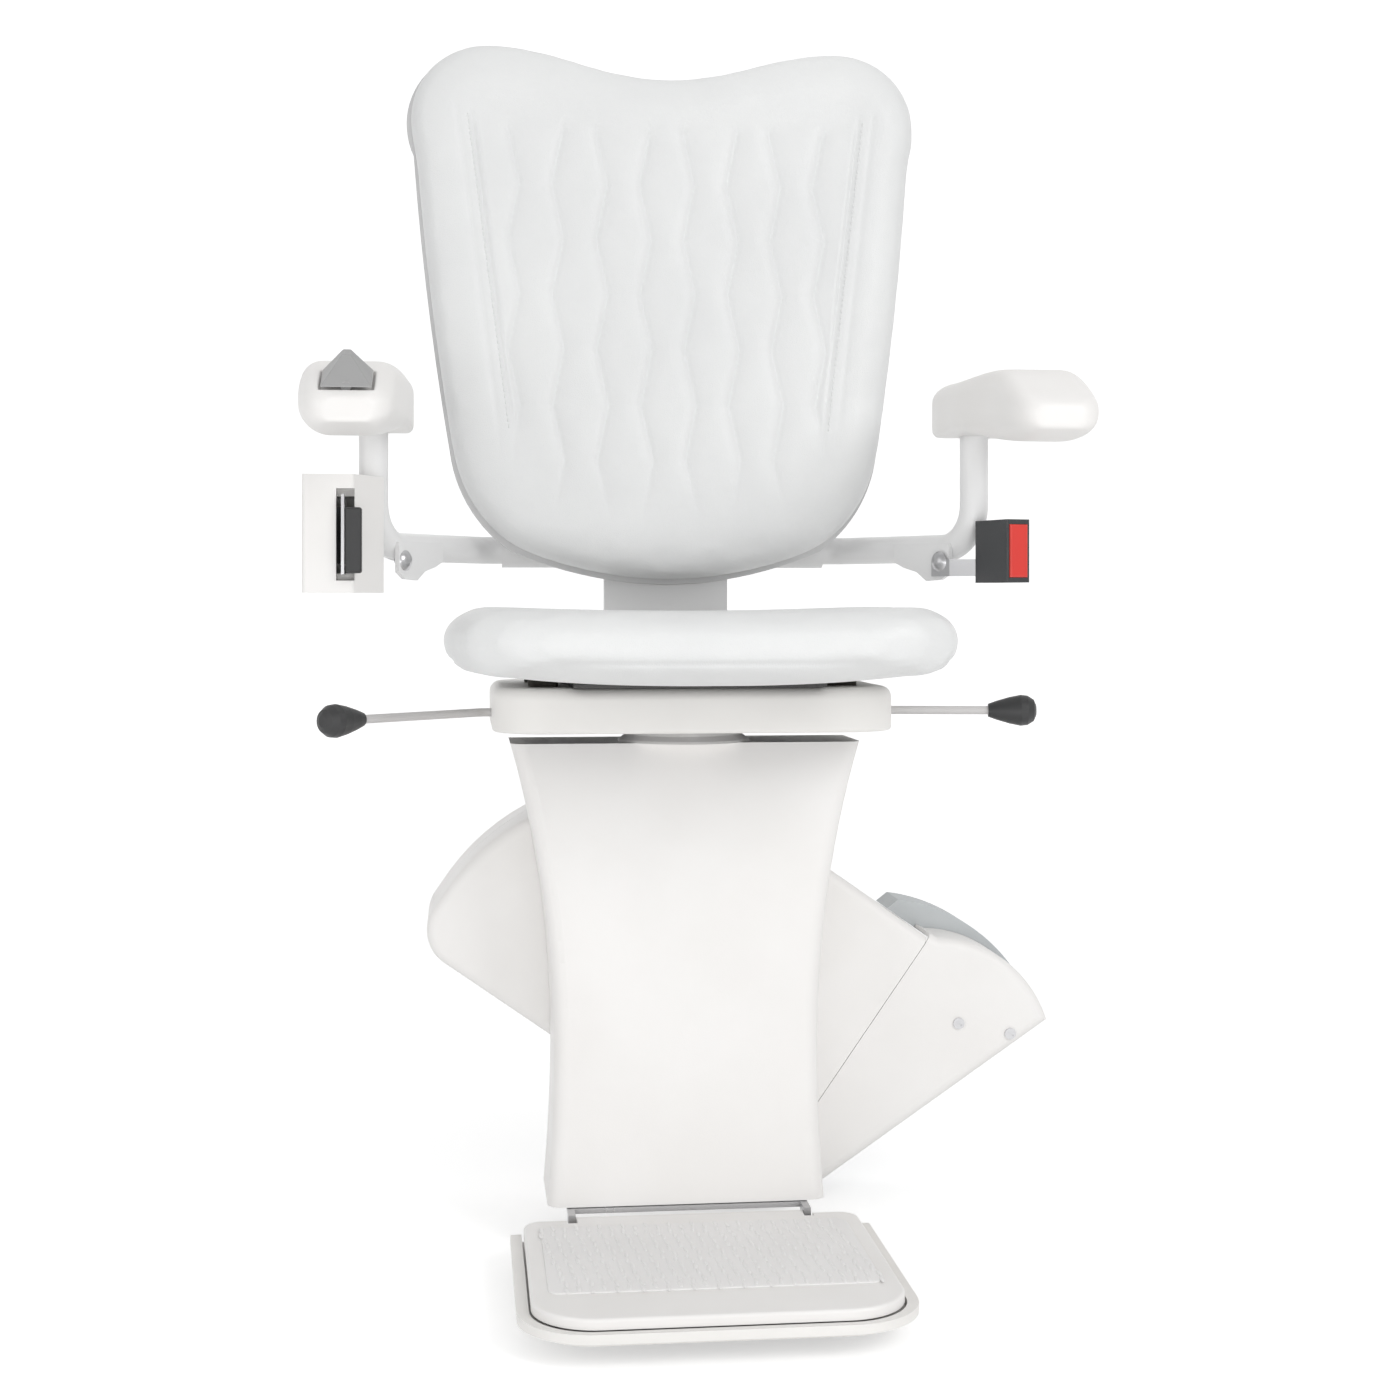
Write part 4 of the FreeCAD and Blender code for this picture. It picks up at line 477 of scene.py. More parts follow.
def effect_node(tree, effect):
    """A node for one of the shared effects, whose group is made once."""
    if effect not in GROUPS:
        GROUPS[effect] = EFFECTS[effect]()
    node = tree.nodes.new("ShaderNodeGroup")
    node.node_tree = GROUPS[effect]
    return node


# slot: name, effect, colour, second colour, roughness span, grain scale, bump depth, extras
FINISH_LIST = {
    "cover_white": ("White Moulding", "moulded", (0.875, 0.862, 0.848), (0.85, 0.835, 0.818),
                    (0.38, 0.46), 1500, 0.00005, {"edge": (0.90, 0.895, 0.88)}),
    "housing_white": ("Base Moulding", "moulded", (0.86, 0.845, 0.82), (0.83, 0.815, 0.79),
                      (0.40, 0.48), 1500, 0.00005, {"edge": (0.86, 0.85, 0.83)}),
    "leather_white": ("White Leatherette", "leather", (0.775, 0.782, 0.780),
                      (0.745, 0.752, 0.752), (0.42, 0.52), 620, 0.00014,
                      {"sheen": 0.12, "coat": 0.06}),
    "shell_grey": ("Backrest Moulding", "moulded", (0.72, 0.72, 0.72), (0.69, 0.69, 0.692),
                   (0.42, 0.5), 1200, 0.00006, {"edge": (0.68, 0.68, 0.68)}),
    "tube_white": ("Powder Coat", "moulded", (0.82, 0.82, 0.82), (0.80, 0.80, 0.80),
                   (0.30, 0.38), 420, 0.00008, {"coat": 0.1}),
    "steel": ("Brushed Steel", "brushed", (0.60, 0.60, 0.61), (0.50, 0.50, 0.51),
              (0.26, 0.36), 1400, 0.00003, {"metal": 1.0}),
    "black_steel": ("Black Painted Steel", "moulded", (0.030, 0.029, 0.028),
                    (0.022, 0.021, 0.021), (0.42, 0.55), 700, 0.00006,
                    {"edge": (0.07, 0.07, 0.07)}),
    "rod_grey": ("Rod Coat", "moulded", (0.60, 0.585, 0.58), (0.56, 0.55, 0.545),
                 (0.3, 0.38), 600, 0.00005, {}),
    "knob_black": ("Knob Plastic", "moulded", (0.022, 0.023, 0.024), (0.034, 0.034, 0.035),
                   (0.36, 0.50), 1100, 0.00010, {"edge": (0.06, 0.06, 0.06)}),
    "buffer_rubber": ("Buffer Rubber", "moulded", (0.022, 0.018, 0.014), (0.032, 0.027, 0.02),
                      (0.62, 0.75), 700, 0.00012, {}),
    "roller_rubber": ("Roller Rubber", "moulded", (0.05, 0.05, 0.052), (0.07, 0.07, 0.07),
                      (0.55, 0.7), 700, 0.00010, {}),
    "edge_grey": ("Safety Edge", "moulded", (0.55, 0.575, 0.585), (0.51, 0.535, 0.545),
                  (0.5, 0.6), 900, 0.00008, {"edge": (0.56, 0.60, 0.61)}),
    "rocker_grey": ("Rocker Plastic", "moulded", (0.36, 0.36, 0.36), (0.33, 0.33, 0.33),
                    (0.35, 0.45), 1100, 0.00006, {"edge": (0.44, 0.44, 0.44)}),
    "tread_white": ("Tread Rubber", "moulded", (0.875, 0.865, 0.86), (0.85, 0.84, 0.835),
                    (0.5, 0.6), 800, 0.00010, {}),
    "buckle_black": ("Buckle Plastic", "moulded", (0.028, 0.030, 0.033), (0.038, 0.040, 0.043),
                     (0.34, 0.46), 1300, 0.00008, {"edge": (0.085, 0.088, 0.092)}),
    "button_red": ("Red Button", "moulded", (0.72, 0.042, 0.030), (0.66, 0.035, 0.026),
                   (0.25, 0.33), 1500, 0.00004, {"coat": 0.2, "edge": (0.80, 0.09, 0.06)}),
    "web_grey": ("Belt Webbing", "woven", (0.045, 0.046, 0.050), (0.085, 0.086, 0.092),
                 (0.7, 0.85), 220, 0.00025, {"sheen": 0.3}),
    "battery_black": ("Battery Moulding", "moulded", (0.035, 0.035, 0.038), (0.05, 0.05, 0.052),
                      (0.45, 0.55), 900, 0.00008, {"edge": (0.1, 0.1, 0.1)}),
    "board_green": ("Circuit Board", "moulded", (0.02, 0.13, 0.045), (0.03, 0.17, 0.06),
                    (0.35, 0.5), 500, 0.00005, {}),
    "motor_dark": ("Motor Paint", "moulded", (0.055, 0.06, 0.066), (0.075, 0.08, 0.085),
                   (0.4, 0.5), 600, 0.00008, {"edge": (0.16, 0.16, 0.17)}),
    "gear_metal": ("Cast Aluminium", "moulded", (0.52, 0.53, 0.54), (0.44, 0.45, 0.46),
                   (0.42, 0.58), 480, 0.00015, {"metal": 1.0}),
}


def finish_of(slot):
    """The material for one of the record's slots, made once."""
    if slot in FINISHES:
        return FINISHES[slot]
    name, effect, first, second, rough, scale, depth, extra = FINISH_LIST[slot]
    material = bpy.data.materials.new(name)
    material.use_nodes = True
    tree = material.node_tree
    shader = tree.nodes["Principled BSDF"]
    spot = tree.nodes.new("ShaderNodeTexCoord")
    group = effect_node(tree, effect)
    group.inputs["Grain Scale"].default_value = scale
    tree.links.new(spot.outputs["Object"], group.inputs["Vector"])
    colour = mixed(tree, group.outputs["Patches"], first, second)
    if "edge" in extra:
        colour = mixed(tree, effect_node(tree, "edge").outputs["Mask"], colour, extra["edge"])
    tree.links.new(colour, shader.inputs["Base Color"])
    tree.links.new(span(tree, group.outputs["Patches"], 0, 1, *rough), shader.inputs["Roughness"])
    bump = tree.nodes.new("ShaderNodeBump")
    bump.inputs["Strength"].default_value = 0.6
    bump.inputs["Distance"].default_value = depth
    tree.links.new(group.outputs["Height"], bump.inputs["Height"])
    tree.links.new(bump.outputs[0], shader.inputs["Normal"])
    shader.inputs["Metallic"].default_value = extra.get("metal", 0.0)
    shader.inputs["Coat Weight"].default_value = extra.get("coat", 0.0)
    shader.inputs["Sheen Weight"].default_value = extra.get("sheen", 0.0)
    FINISHES[slot] = material
    return material


# Backrest: a fan-shaped cushion with a quilted panel

def evened(flat, count=240, rounds=8):
    """The closed line at even steps, with its corners eased."""
    flat = np.array(flat)
    ends = np.roll(flat, -1, axis=0)
    along = np.concatenate(([0], np.cumsum(np.linalg.norm(ends - flat, axis=1))))
    line = np.vstack((flat, flat[:1]))
    at = np.linspace(0, along[-1], count, endpoint=False)
    even = np.column_stack([np.interp(at, along, line[:, i]) for i in (0, 1)])
    for _ in range(rounds):
        even = even * 0.5 + (np.roll(even, 1, axis=0) + np.roll(even, -1, axis=0)) * 0.25
    return even


def fan_ring(inset, y, count=10):
    """The fan outline, narrowed by an inset, at a depth."""
    mid = BACK_PEAK * 0.52

    def spot(across, up):
        wide = (BACK_HALF - inset) / BACK_HALF
        tall = (mid - inset) / mid
        return across * BACK_HALF * wide, mid + (up - mid) * tall

    fall = BACK_PEAK - BACK_DIP
    half = [
        spot(0, 0),
        spot(0.32, BACK_PEAK * 0.017),
        spot(0.615, BACK_PEAK * 0.062),
        spot(0.765, BACK_PEAK * 0.135),
        spot(0.85, BACK_PEAK * 0.245),
        spot(0.93, BACK_PEAK * 0.5),
        spot(0.993, BACK_PEAK * 0.8),
        spot(0.96, BACK_PEAK * 0.945),
        spot(0.655, BACK_PEAK),
        spot(0.50, BACK_PEAK - fall * 0.17),
        spot(0.36, BACK_PEAK - fall * 0.47),
        spot(0.19, BACK_DIP + fall * 0.17),
        spot(0, BACK_DIP),
    ]
    flat = []
    for i in range(0, 12, 2):
        flat += arc_points(*half[i:i + 3], count)
    other = [(-x, z) for x, z in half]
    for i in range(12, 0, -2):
        flat += arc_points(other[i], other[i - 1], other[i - 2], count)
    return [(x, y, z) for x, z in evened(flat)]


def leaned(points):
    """From the upright backrest's own frame to its place on the chair."""
    turn = math.radians(BACK_LEAN)
    x, y, z = points[:, 0], points[:, 1], points[:, 2]
    return np.column_stack(
        (
            x,
            y * math.cos(turn) + z * math.sin(turn) + UPRIGHT_Y,
            z * math.cos(turn) - y * math.sin(turn) + BACK_FOOT,
        )
    )


def border_line(z):
    """Half width of the quilted panel at a height."""
    return PANEL_LOW_HALF + PANEL_SPREAD * np.clip((z - PANEL_LOW) / PANEL_TALL, 0, 1.1)


def rim_depth(x, z):
    """How far inside the backrest's outline a point lies."""
    rim = np.array(fan_ring(0.0, 0.0, 12))[:, [0, 2]]
    squared = np.full(x.shape, 1.0)
    for px, pz in rim:
        squared = np.minimum(squared, (x - px) ** 2 + (z - pz) ** 2)
    return np.sqrt(squared)


def zigzag(index, z, chair):
    """Where one sewn line stands at a height."""
    along = (QUILT_TOP - z) / chair.quilt_step
    wave = np.abs((along % 2.0) - 1.0) * 2 - 1
    side = 1 if index % 2 else -1
    rest = (index - (chair.quilt_lines - 1) / 2) * chair.quilt_pitch
    return rest + side * wave * chair.quilt_swing


def panel_depth(x, z, chair):
    """How far the front is drawn in at a point: the panel, its border and its sewn lines."""
    edge = border_line(z) - np.abs(x)
    top = PANEL_TOP - z
    side_fade = ease(z, 0.085, 0.200)
    inside = ease(rim_depth(x, z), 0.034, 0.072) * ease(z, 0.02, 0.18)
    drop = chair.panel_recess * inside
    groove = dent(edge, GROOVE_WIDTH, 1.5) * side_fade * ease(top, -0.012, 0.022)
    twin = dent(edge + TWIN_GAP, TWIN_WIDTH, 1.5) * side_fade * ease(top, -0.022, 0.012)
    drop = drop + GROOVE_DEPTH * groove + TWIN_DEPTH * twin
    nearest = np.full_like(x, 1.0)
    for index in range(chair.quilt_lines):
        nearest = np.minimum(nearest, np.abs(x - zigzag(index, z, chair)))
    lower = QUILT_LOW + 0.9 * np.clip(np.abs(x) - 0.09, 0, 1)
    sewn = ease(edge, 0.0, 0.006) * ease(top, 0.004, 0.022) * ease(z, lower - 0.045, lower + 0.05)
    wide = chair.quilt_depth * dent(nearest, FOLD_WIDTH, 1.6)
    sharp = THREAD_SHARE * chair.quilt_depth * dent(nearest, THREAD_WIDTH, 1.4)
    return drop + sewn * (wide + sharp - QUILT_PUFF)


class STAIRLIFT_OT_backrest(bpy.types.Operator):
    """Makes the backrest cushion with its rolled rim and quilted panel"""

    bl_idname = "stairlift.backrest"
    bl_label = "Backrest cushion"

    def execute(self, context):
        chair = settings()
        roll = [
            (0.0045, BACK_SHELL - 0.0005),
            (0.0015, -0.008),
            (0.0010, -0.022),
            (0.0014, -0.030),
            (0.0045, -0.038),
            (0.0120, -0.0450),
            (0.0240, -0.0482),
            (0.0400, BACK_FACE),
            (0.0700, BACK_FACE),
        ]
        rings = [fan_ring(inset, y) for inset, y in roll]
        cushion = ringed("backrest_upholstery", rings)
        plump(cushion, chair.fill_pressure, BACK_SWELL)
        finer(cushion)
        self.refine_panel(cushion)
        points = places(cushion.data)
        normals = np.zeros(len(points) * 3, np.float32)
        cushion.data.vertices.foreach_get("normal", normals)
        front = ease(-normals.reshape(-1, 3)[:, 1], 0.25, 0.75)
        points[:, 1] += panel_depth(points[:, 0], points[:, 2], chair) * front
        points[:, 1] = np.minimum(points[:, 1], BACK_SHELL - REST_GAP)
        set_places(cushion.data, leaned(points))
        cushion.data.shade_smooth()
        dress(cushion, "seat_base", "leather_white", "backrest_cushion")
        return {"FINISHED"}

    def refine_panel(self, cushion):
        """Splits the front's faces where the sewn lines run."""
        work = bmesh.new()
        work.from_mesh(cushion.data)
        chosen = set()
        for face in work.faces:
            spot = face.calc_center_median()
            forward = spot.y <= -0.04 and face.normal.y <= -0.6
            beside = abs(spot.x) < float(border_line(spot.z)) + 0.02
            if forward and beside and 0.04 < spot.z < 0.435:
                chosen.add(face)
        edges = {edge for face in chosen for edge in face.edges}
        bmesh.ops.subdivide_edges(work, edges=list(edges), cuts=1, use_grid_fill=True)
        work.to_mesh(cushion.data)
        work.free()


# Seat cushion

def seat_ring(y, half, top, bottom, dish, count=10):
    """One slice of the seat: a dished top, round sides and a bowed underside."""
    middle = (top + bottom) / 2 + 0.003
    crown, foot = half * 0.87, half * 0.80
    lift = (top - bottom) * 0.15
    upper = (half * 0.968, top - (top - middle) * 0.30)
    lower = (half * 0.955, bottom + lift * 1.75)
    arcs = [
        ((-crown, top), (0, top - dish), (crown, top)),
        ((crown, top), upper, (half, middle)),
        ((half, middle), lower, (foot, bottom + lift)),
        ((foot, bottom + lift), (0, bottom), (-foot, bottom + lift)),
        ((-foot, bottom + lift), (-lower[0], lower[1]), (-half, middle)),
        ((-half, middle), (-upper[0], upper[1]), (-crown, top)),
    ]
    flat = []
    for a, b, c in arcs:
        flat += arc_points(a, b, c, count)
    return [(x, y, z) for x, z in flat]


class STAIRLIFT_OT_seat(bpy.types.Operator):
    """Makes the seat cushion with its dished top"""

    bl_idname = "stairlift.seat"
    bl_label = "Seat cushion"

    def execute(self, context):
        chair = settings()
        # share of the depth and of the width, mm below the top and above the floor, share of the dish
        slices = [
            (0.0, 0.62, 14, 21, 0.2),
            (0.03, 0.78, 5.5, 11, 0.4),
            (0.10, 0.915, 1.5, 4, 0.8),
            (0.24, 0.98, 0.5, 1, 1),
            (0.45, 1.0, 0.5, 1, 1),
            (0.70, 0.985, 0.5, 1, 1),
            (0.90, 0.94, 0.5, 1, 1),
            (0.975, 0.89, 3.5, 4, 0.7),
            (1.0, 0.82, 10, 10, 0.4),
        ]
        deep = SEAT_REAR - SEAT_FRONT - 2 * SEAT_INSET
        rings = [
            seat_ring(
                SEAT_FRONT + SEAT_INSET + at * deep,
                wide * (SEAT_HALF - SEAT_INSET),
                SEAT_TOP - 0.001 - down / 1000,
                SEAT_FLOOR + 0.001 + up / 1000,
                chair.seat_dish * dip,
            )
            for at, wide, down, up, dip in slices
        ]
        cushion = ringed("seat_upholstery", rings)
        plump(cushion, chair.fill_pressure, SEAT_SWELL)
        finer(cushion)
        points = places(cushion.data)
        self.sew_side(points)
        self.ease_underside(points)
        set_places(cushion.data, points)
        cushion.data.shade_smooth()
        dress(cushion, "seat", "leather_white", "seat_cushion")
        return {"FINISHED"}

    def sew_side(self, points):
        """Draws the side in along the seam that runs round the cushion."""
        seam = dent(points[:, 2] - SIDE_SEAM_UP, SIDE_SEAM_WIDTH, 2)
        away = points[:, :2] - np.array([0.0, SEAT_MIDDLE])
        away /= np.maximum(np.linalg.norm(away, axis=1, keepdims=True), 1e-6)
        rim = ease(self.rim_share(points), 0.86, 0.94)
        points[:, :2] -= away * (SIDE_SEAM_DEPTH * seam * rim)[:, None]

    def rim_share(self, points):
        """How near a point is to the seat's outline, 1 at its widest."""
        across = np.abs(points[:, 0]) / SEAT_HALF
        along = np.abs(points[:, 1] - SEAT_MIDDLE) / ((SEAT_REAR - SEAT_FRONT) / 2)
        return np.maximum(across ** 2, along ** 2) ** 0.5

    def ease_underside(self, points):
        """Bows the underside up to the sides and rests it on the pan and the buffers."""
        x, y, z = points.T
        floor = REST_GAP + SEAT_FLOOR + UNDERSIDE_RISE * (np.abs(x) / UNDERSIDE_HALF) ** 3
        over = z - floor
        points[:, 2] = floor + 0.5 * (over + np.sqrt(over ** 2 + UNDERSIDE_EASE ** 2))
        over_pan = (np.abs(x) < PAN_HALF + PAN_MARGIN) & (y > PAN_FRONT - PAN_MARGIN)
        rest = np.where(over_pan, PAN_TOP + PAN_GAP, 0.0)
        reach = BUFFER_HALF + BUFFER_MARGIN
        for across in BUFFER_ACROSS:
            for along in BUFFER_ALONG:
                near = (np.abs(x - across) < reach) & (np.abs(y - along) < reach)
                rest = np.where(near, BUFFER_TOP + BUFFER_GAP, rest)
        points[:, 2] = np.maximum(points[:, 2], rest)


# Arm pads

class STAIRLIFT_OT_arm_pads(bpy.types.Operator):
    """Makes the two soft-edged arm pads over their moulded cores"""

    bl_idname = "stairlift.arm_pads"
    bl_label = "Arm pads"

    def execute(self, context):
        for side, step in PAD_STEP.items():
            mesh = frame["nodes"][side + "_arm_pad"].data.copy()
            work = bmesh.new()
            work.from_mesh(mesh)
            bmesh.ops.remove_doubles(work, verts=work.verts, dist=1e-6)
            work.to_mesh(mesh)
            core_skin = BVHTree.FromBMesh(work)
            work.free()
            pad = bpy.data.objects.new(side + "_arm_rest", mesh)
            context.scene.collection.objects.link(pad)
            remeshed(pad, step, 5)
            if side == "left":
                self.keep_bed(pad, core_skin)
            pad.data.shade_smooth()
            dress(pad, side + "_arm", "cover_white", side + "_arm_pad")
        return {"FINISHED"}

    def keep_bed(self, pad, core_skin):
        """Puts the walls of the rocker's bed back in their place after the remesh."""
        for vertex in pad.data.vertices:
            if (vertex.co - Vector(ROCKER_SPOT)).length < ROCKER_REACH:
                vertex.co = core_skin.find_nearest(vertex.co)[0]


# Pieces made by node trees

def input_id(tree, label):
    """The identifier of a tree's named input."""
    for item in tree.interface.items_tree:
        if item.name == label and item.in_out == "INPUT":
            return item.identifier
    raise ValueError("no input " + label)


def with_nodes(piece, tree, values):
    """Runs a node tree on a piece, then keeps its result as a plain mesh."""
    mod = piece.modifiers.new(tree.name, "NODES")
    mod.node_group = tree
    for label, value in values.items():
        mod[input_id(tree, label)] = value
    baked(piece)


def node_tree(name, sizes):
    """A geometry tree with its named sizes, and its two end nodes."""
    tree = bpy.data.node_groups.new(name, "GeometryNodeTree")
    tree.interface.new_socket("Geometry", in_out="INPUT", socket_type="NodeSocketGeometry")
    for label, kind, value in sizes:
        tree.interface.new_socket(label, in_out="INPUT", socket_type=kind).default_value = value
    tree.interface.new_socket("Geometry", in_out="OUTPUT", socket_type="NodeSocketGeometry")
    return tree, tree.nodes.new("NodeGroupInput"), tree.nodes.new("NodeGroupOutput")


def bead(tree, segments, rings, sizes):
    """A small rounded bead with its three sizes as sockets."""
    ball = tree.nodes.new("GeometryNodeMeshUVSphere")
    ball.inputs["Segments"].default_value = segments
    ball.inputs["Rings"].default_value = rings
    ball.inputs["Radius"].default_value = 1.0
    size = tree.nodes.new("ShaderNodeCombineXYZ")
    for axis, value in zip("XYZ", sizes):
        tree.links.new(value, size.inputs[axis])
    shape = tree.nodes.new("GeometryNodeTransform")
    tree.links.new(ball.outputs["Mesh"], shape.inputs["Geometry"])
    tree.links.new(size.outputs[0], shape.inputs["Scale"])
    return shape.outputs[0]


def repeated(tree, points, shape, rotation, material, dst):
    """Puts a shape on every point, makes the copies real and gives them their material."""
    many = tree.nodes.new("GeometryNodeInstanceOnPoints")
    tree.links.new(points, many.inputs["Points"])
    tree.links.new(shape, many.inputs["Instance"])
    tree.links.new(rotation, many.inputs["Rotation"])
    real = tree.nodes.new("GeometryNodeRealizeInstances")
    tree.links.new(many.outputs[0], real.inputs[0])
    paint = tree.nodes.new("GeometryNodeSetMaterial")
    paint.inputs["Material"].default_value = material
    tree.links.new(real.outputs[0], paint.inputs["Geometry"])
    tree.links.new(paint.outputs[0], dst.inputs["Geometry"])


# Footrest tread

def tread_tree(material):
    """Rows of short raised dashes that lean across the mat."""
    tree, src, dst = node_tree(
        "Tread Dashes",
        [
            ("Width", "NodeSocketFloat", 0.236),
            ("Depth", "NodeSocketFloat", 0.150),
            ("Columns", "NodeSocketInt", 26),
            ("Rows", "NodeSocketInt", 12),
            ("Dash Length", "NodeSocketFloat", 0.0076),
            ("Dash Width", "NodeSocketFloat", 0.0018),
            ("Rise", "NodeSocketFloat", 0.0009),
            ("Lean", "NodeSocketFloat", 0.10),
            ("Seed", "NodeSocketInt", 7),
        ],
    )
    new, link = tree.nodes.new, tree.links.new
    grid = new("GeometryNodeMeshGrid")
    link(src.outputs["Width"], grid.inputs["Size X"])
    link(src.outputs["Depth"], grid.inputs["Size Y"])
    link(src.outputs["Columns"], grid.inputs["Vertices X"])
    link(src.outputs["Rows"], grid.inputs["Vertices Y"])
    spot = new("GeometryNodeInputPosition")
    parts = new("ShaderNodeSeparateXYZ")
    link(spot.outputs[0], parts.inputs[0])
    lean = math_node(tree, "MULTIPLY", parts.outputs["Y"], src.outputs["Lean"])
    back = math_node(tree, "MULTIPLY", lean, -1.0)
    wave = math_node(tree, "SINE", math_node(tree, "MULTIPLY", parts.outputs["Y"], DASH_SWAY_RATE))
    shift = math_node(tree, "MULTIPLY_ADD", wave, DASH_SWAY, back)
    step = math_node(tree, "MULTIPLY_ADD", parts.outputs["X"], DASH_STAGGER_RATE, 0.5)
    odd = math_node(tree, "MULTIPLY", math_node(tree, "SINE", step), DASH_STAGGER)
    move = new("ShaderNodeCombineXYZ")
    link(shift, move.inputs["X"])
    link(odd, move.inputs["Y"])
    placed = new("GeometryNodeSetPosition")
    link(grid.outputs["Mesh"], placed.inputs["Geometry"])
    link(move.outputs[0], placed.inputs["Offset"])
    dash = bead(tree, 8, 6, [src.outputs[label] for label in ("Dash Width", "Dash Length", "Rise")])
    turn = new("FunctionNodeRandomValue")
    turn.data_type = "FLOAT"
    for socket, value in zip(("Min", "Max"), DASH_TURN):
        next(s for s in turn.inputs if s.name == socket and s.type == "VALUE").default_value = value
    link(src.outputs["Seed"], turn.inputs["Seed"])
    value = next(s for s in turn.outputs if s.type == "VALUE" and s.enabled)
    spin = new("ShaderNodeCombineXYZ")
    link(value, spin.inputs["Z"])
    repeated(tree, placed.outputs[0], dash, spin.outputs[0], material, dst)
    return tree


class STAIRLIFT_OT_tread(bpy.types.Operator):
    """Makes the footrest's tread mat with its rows of raised dashes"""

    bl_idname = "stairlift.tread"
    bl_label = "Footrest tread"

    def execute(self, context):
        chair = settings()
        low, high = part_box("tread_mat")
        middle = (low + high) / 2
        dress(self.slab(low, high), "footrest", "tread_white", "tread_mat")
        dashes = made("tread_dashes", [(0, 0, 0)], [])
        with_nodes(
            dashes,
            tread_tree(finish_of("tread_white")),
            {
                "Width": high.x - low.x - DASH_MARGIN,
                "Depth": high.y - low.y - DASH_MARGIN,
                "Columns": chair.tread_columns,
                "Rows": chair.tread_rows,
            },
        )
        points = places(dashes.data)
        set_places(dashes.data, points + np.array([middle.x, middle.y, high.z - DASH_SINK]))
        dashes.data.shade_smooth()
        dress(dashes, "footrest", "tread_white")
        return {"FINISHED"}

    def slab(self, low, high):
        """A thin mat with round corners and an eased top edge."""
        rings = []
        for inset, z in ((0.0, low.z), (0.0, high.z - 0.0007), (0.0007, high.z - 0.0002),
                         (0.0016, high.z - 0.0001)):
            ring = []
            radius = MAT_CORNER - inset
            for cx, cy, start in (
                (high.x - MAT_CORNER, high.y - MAT_CORNER, 0),
                (low.x + MAT_CORNER, high.y - MAT_CORNER, 90),
                (low.x + MAT_CORNER, low.y + MAT_CORNER, 180),
                (high.x - MAT_CORNER, low.y + MAT_CORNER, 270),
            ):
                for step in range(9):
                    turn = math.radians(start + step * 11.25)
                    ring.append((cx + radius * math.cos(turn), cy + radius * math.sin(turn), z))
            rings.append(ring)
        return ringed("tread_mat_skin", rings)


# Belt webbing

class STAIRLIFT_OT_webbing(bpy.types.Operator):
    """Makes the belt's webbing with its thick woven edges"""

    bl_idname = "stairlift.webbing"
    bl_label = "Belt webbing"

    def execute(self, context):
        low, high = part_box("belt_webbing")
        across, along = 24, 20
        middle, half = (low.x + high.x) / 2, (high.x - low.x) / 2
        rings = []
        for row in range(along + 1):
            y = low.y + (high.y - low.y) * row / along
            ring = []
            for side in (1, -1):
                for thread in range(across + 1):
                    up = thread / across if side > 0 else 1 - thread / across
                    z = low.z + (high.z - low.z) * up
                    ring.append((middle + side * half * self.thickness(up, across), y, z))
            rings.append(ring)
        strap = ringed("belt_strap", rings)
        finer(strap)
        strap.data.shade_smooth()
        dress(strap, "belt", "web_grey", "belt_webbing")
        return {"FINISHED"}

    def thickness(self, up, across):
        """The web's share of its full thickness: a thin selvedge, a thick border, a thinner middle."""
        inward = min(up, 1 - up) * across
        if 0.9 < inward < 2.6:
            return 1.0
        return 0.82 if inward > 1 else 0.55


# Sewing thread along the quilted panel's border

def stitch_tree(material):
    """A row of short stitches along a line."""
    tree, src, dst = node_tree(
        "Stitch Row",
        [
            ("Spacing", "NodeSocketFloat", STITCH_SPACING),
            ("Stitch Length", "NodeSocketFloat", 0.0019),
            ("Thread", "NodeSocketFloat", 0.00055),
        ],
    )
    new, link = tree.nodes.new, tree.links.new
    curve = new("GeometryNodeMeshToCurve")
    link(src.outputs["Geometry"], curve.inputs["Mesh"])
    spaced = new("GeometryNodeResampleCurve")
    spaced.mode = "LENGTH"
    link(curve.outputs[0], spaced.inputs["Curve"])
    link(src.outputs["Spacing"], spaced.inputs["Length"])
    along = new("GeometryNodeInputTangent")
    align = new("FunctionNodeAlignRotationToVector")
    align.axis = "X"
    link(along.outputs[0], align.inputs["Vector"])
    stitch = bead(tree, 6, 5, [src.outputs[label] for label in ("Stitch Length", "Thread", "Thread")])
    repeated(tree, spaced.outputs[0], stitch, align.outputs[0], material, dst)
    return tree


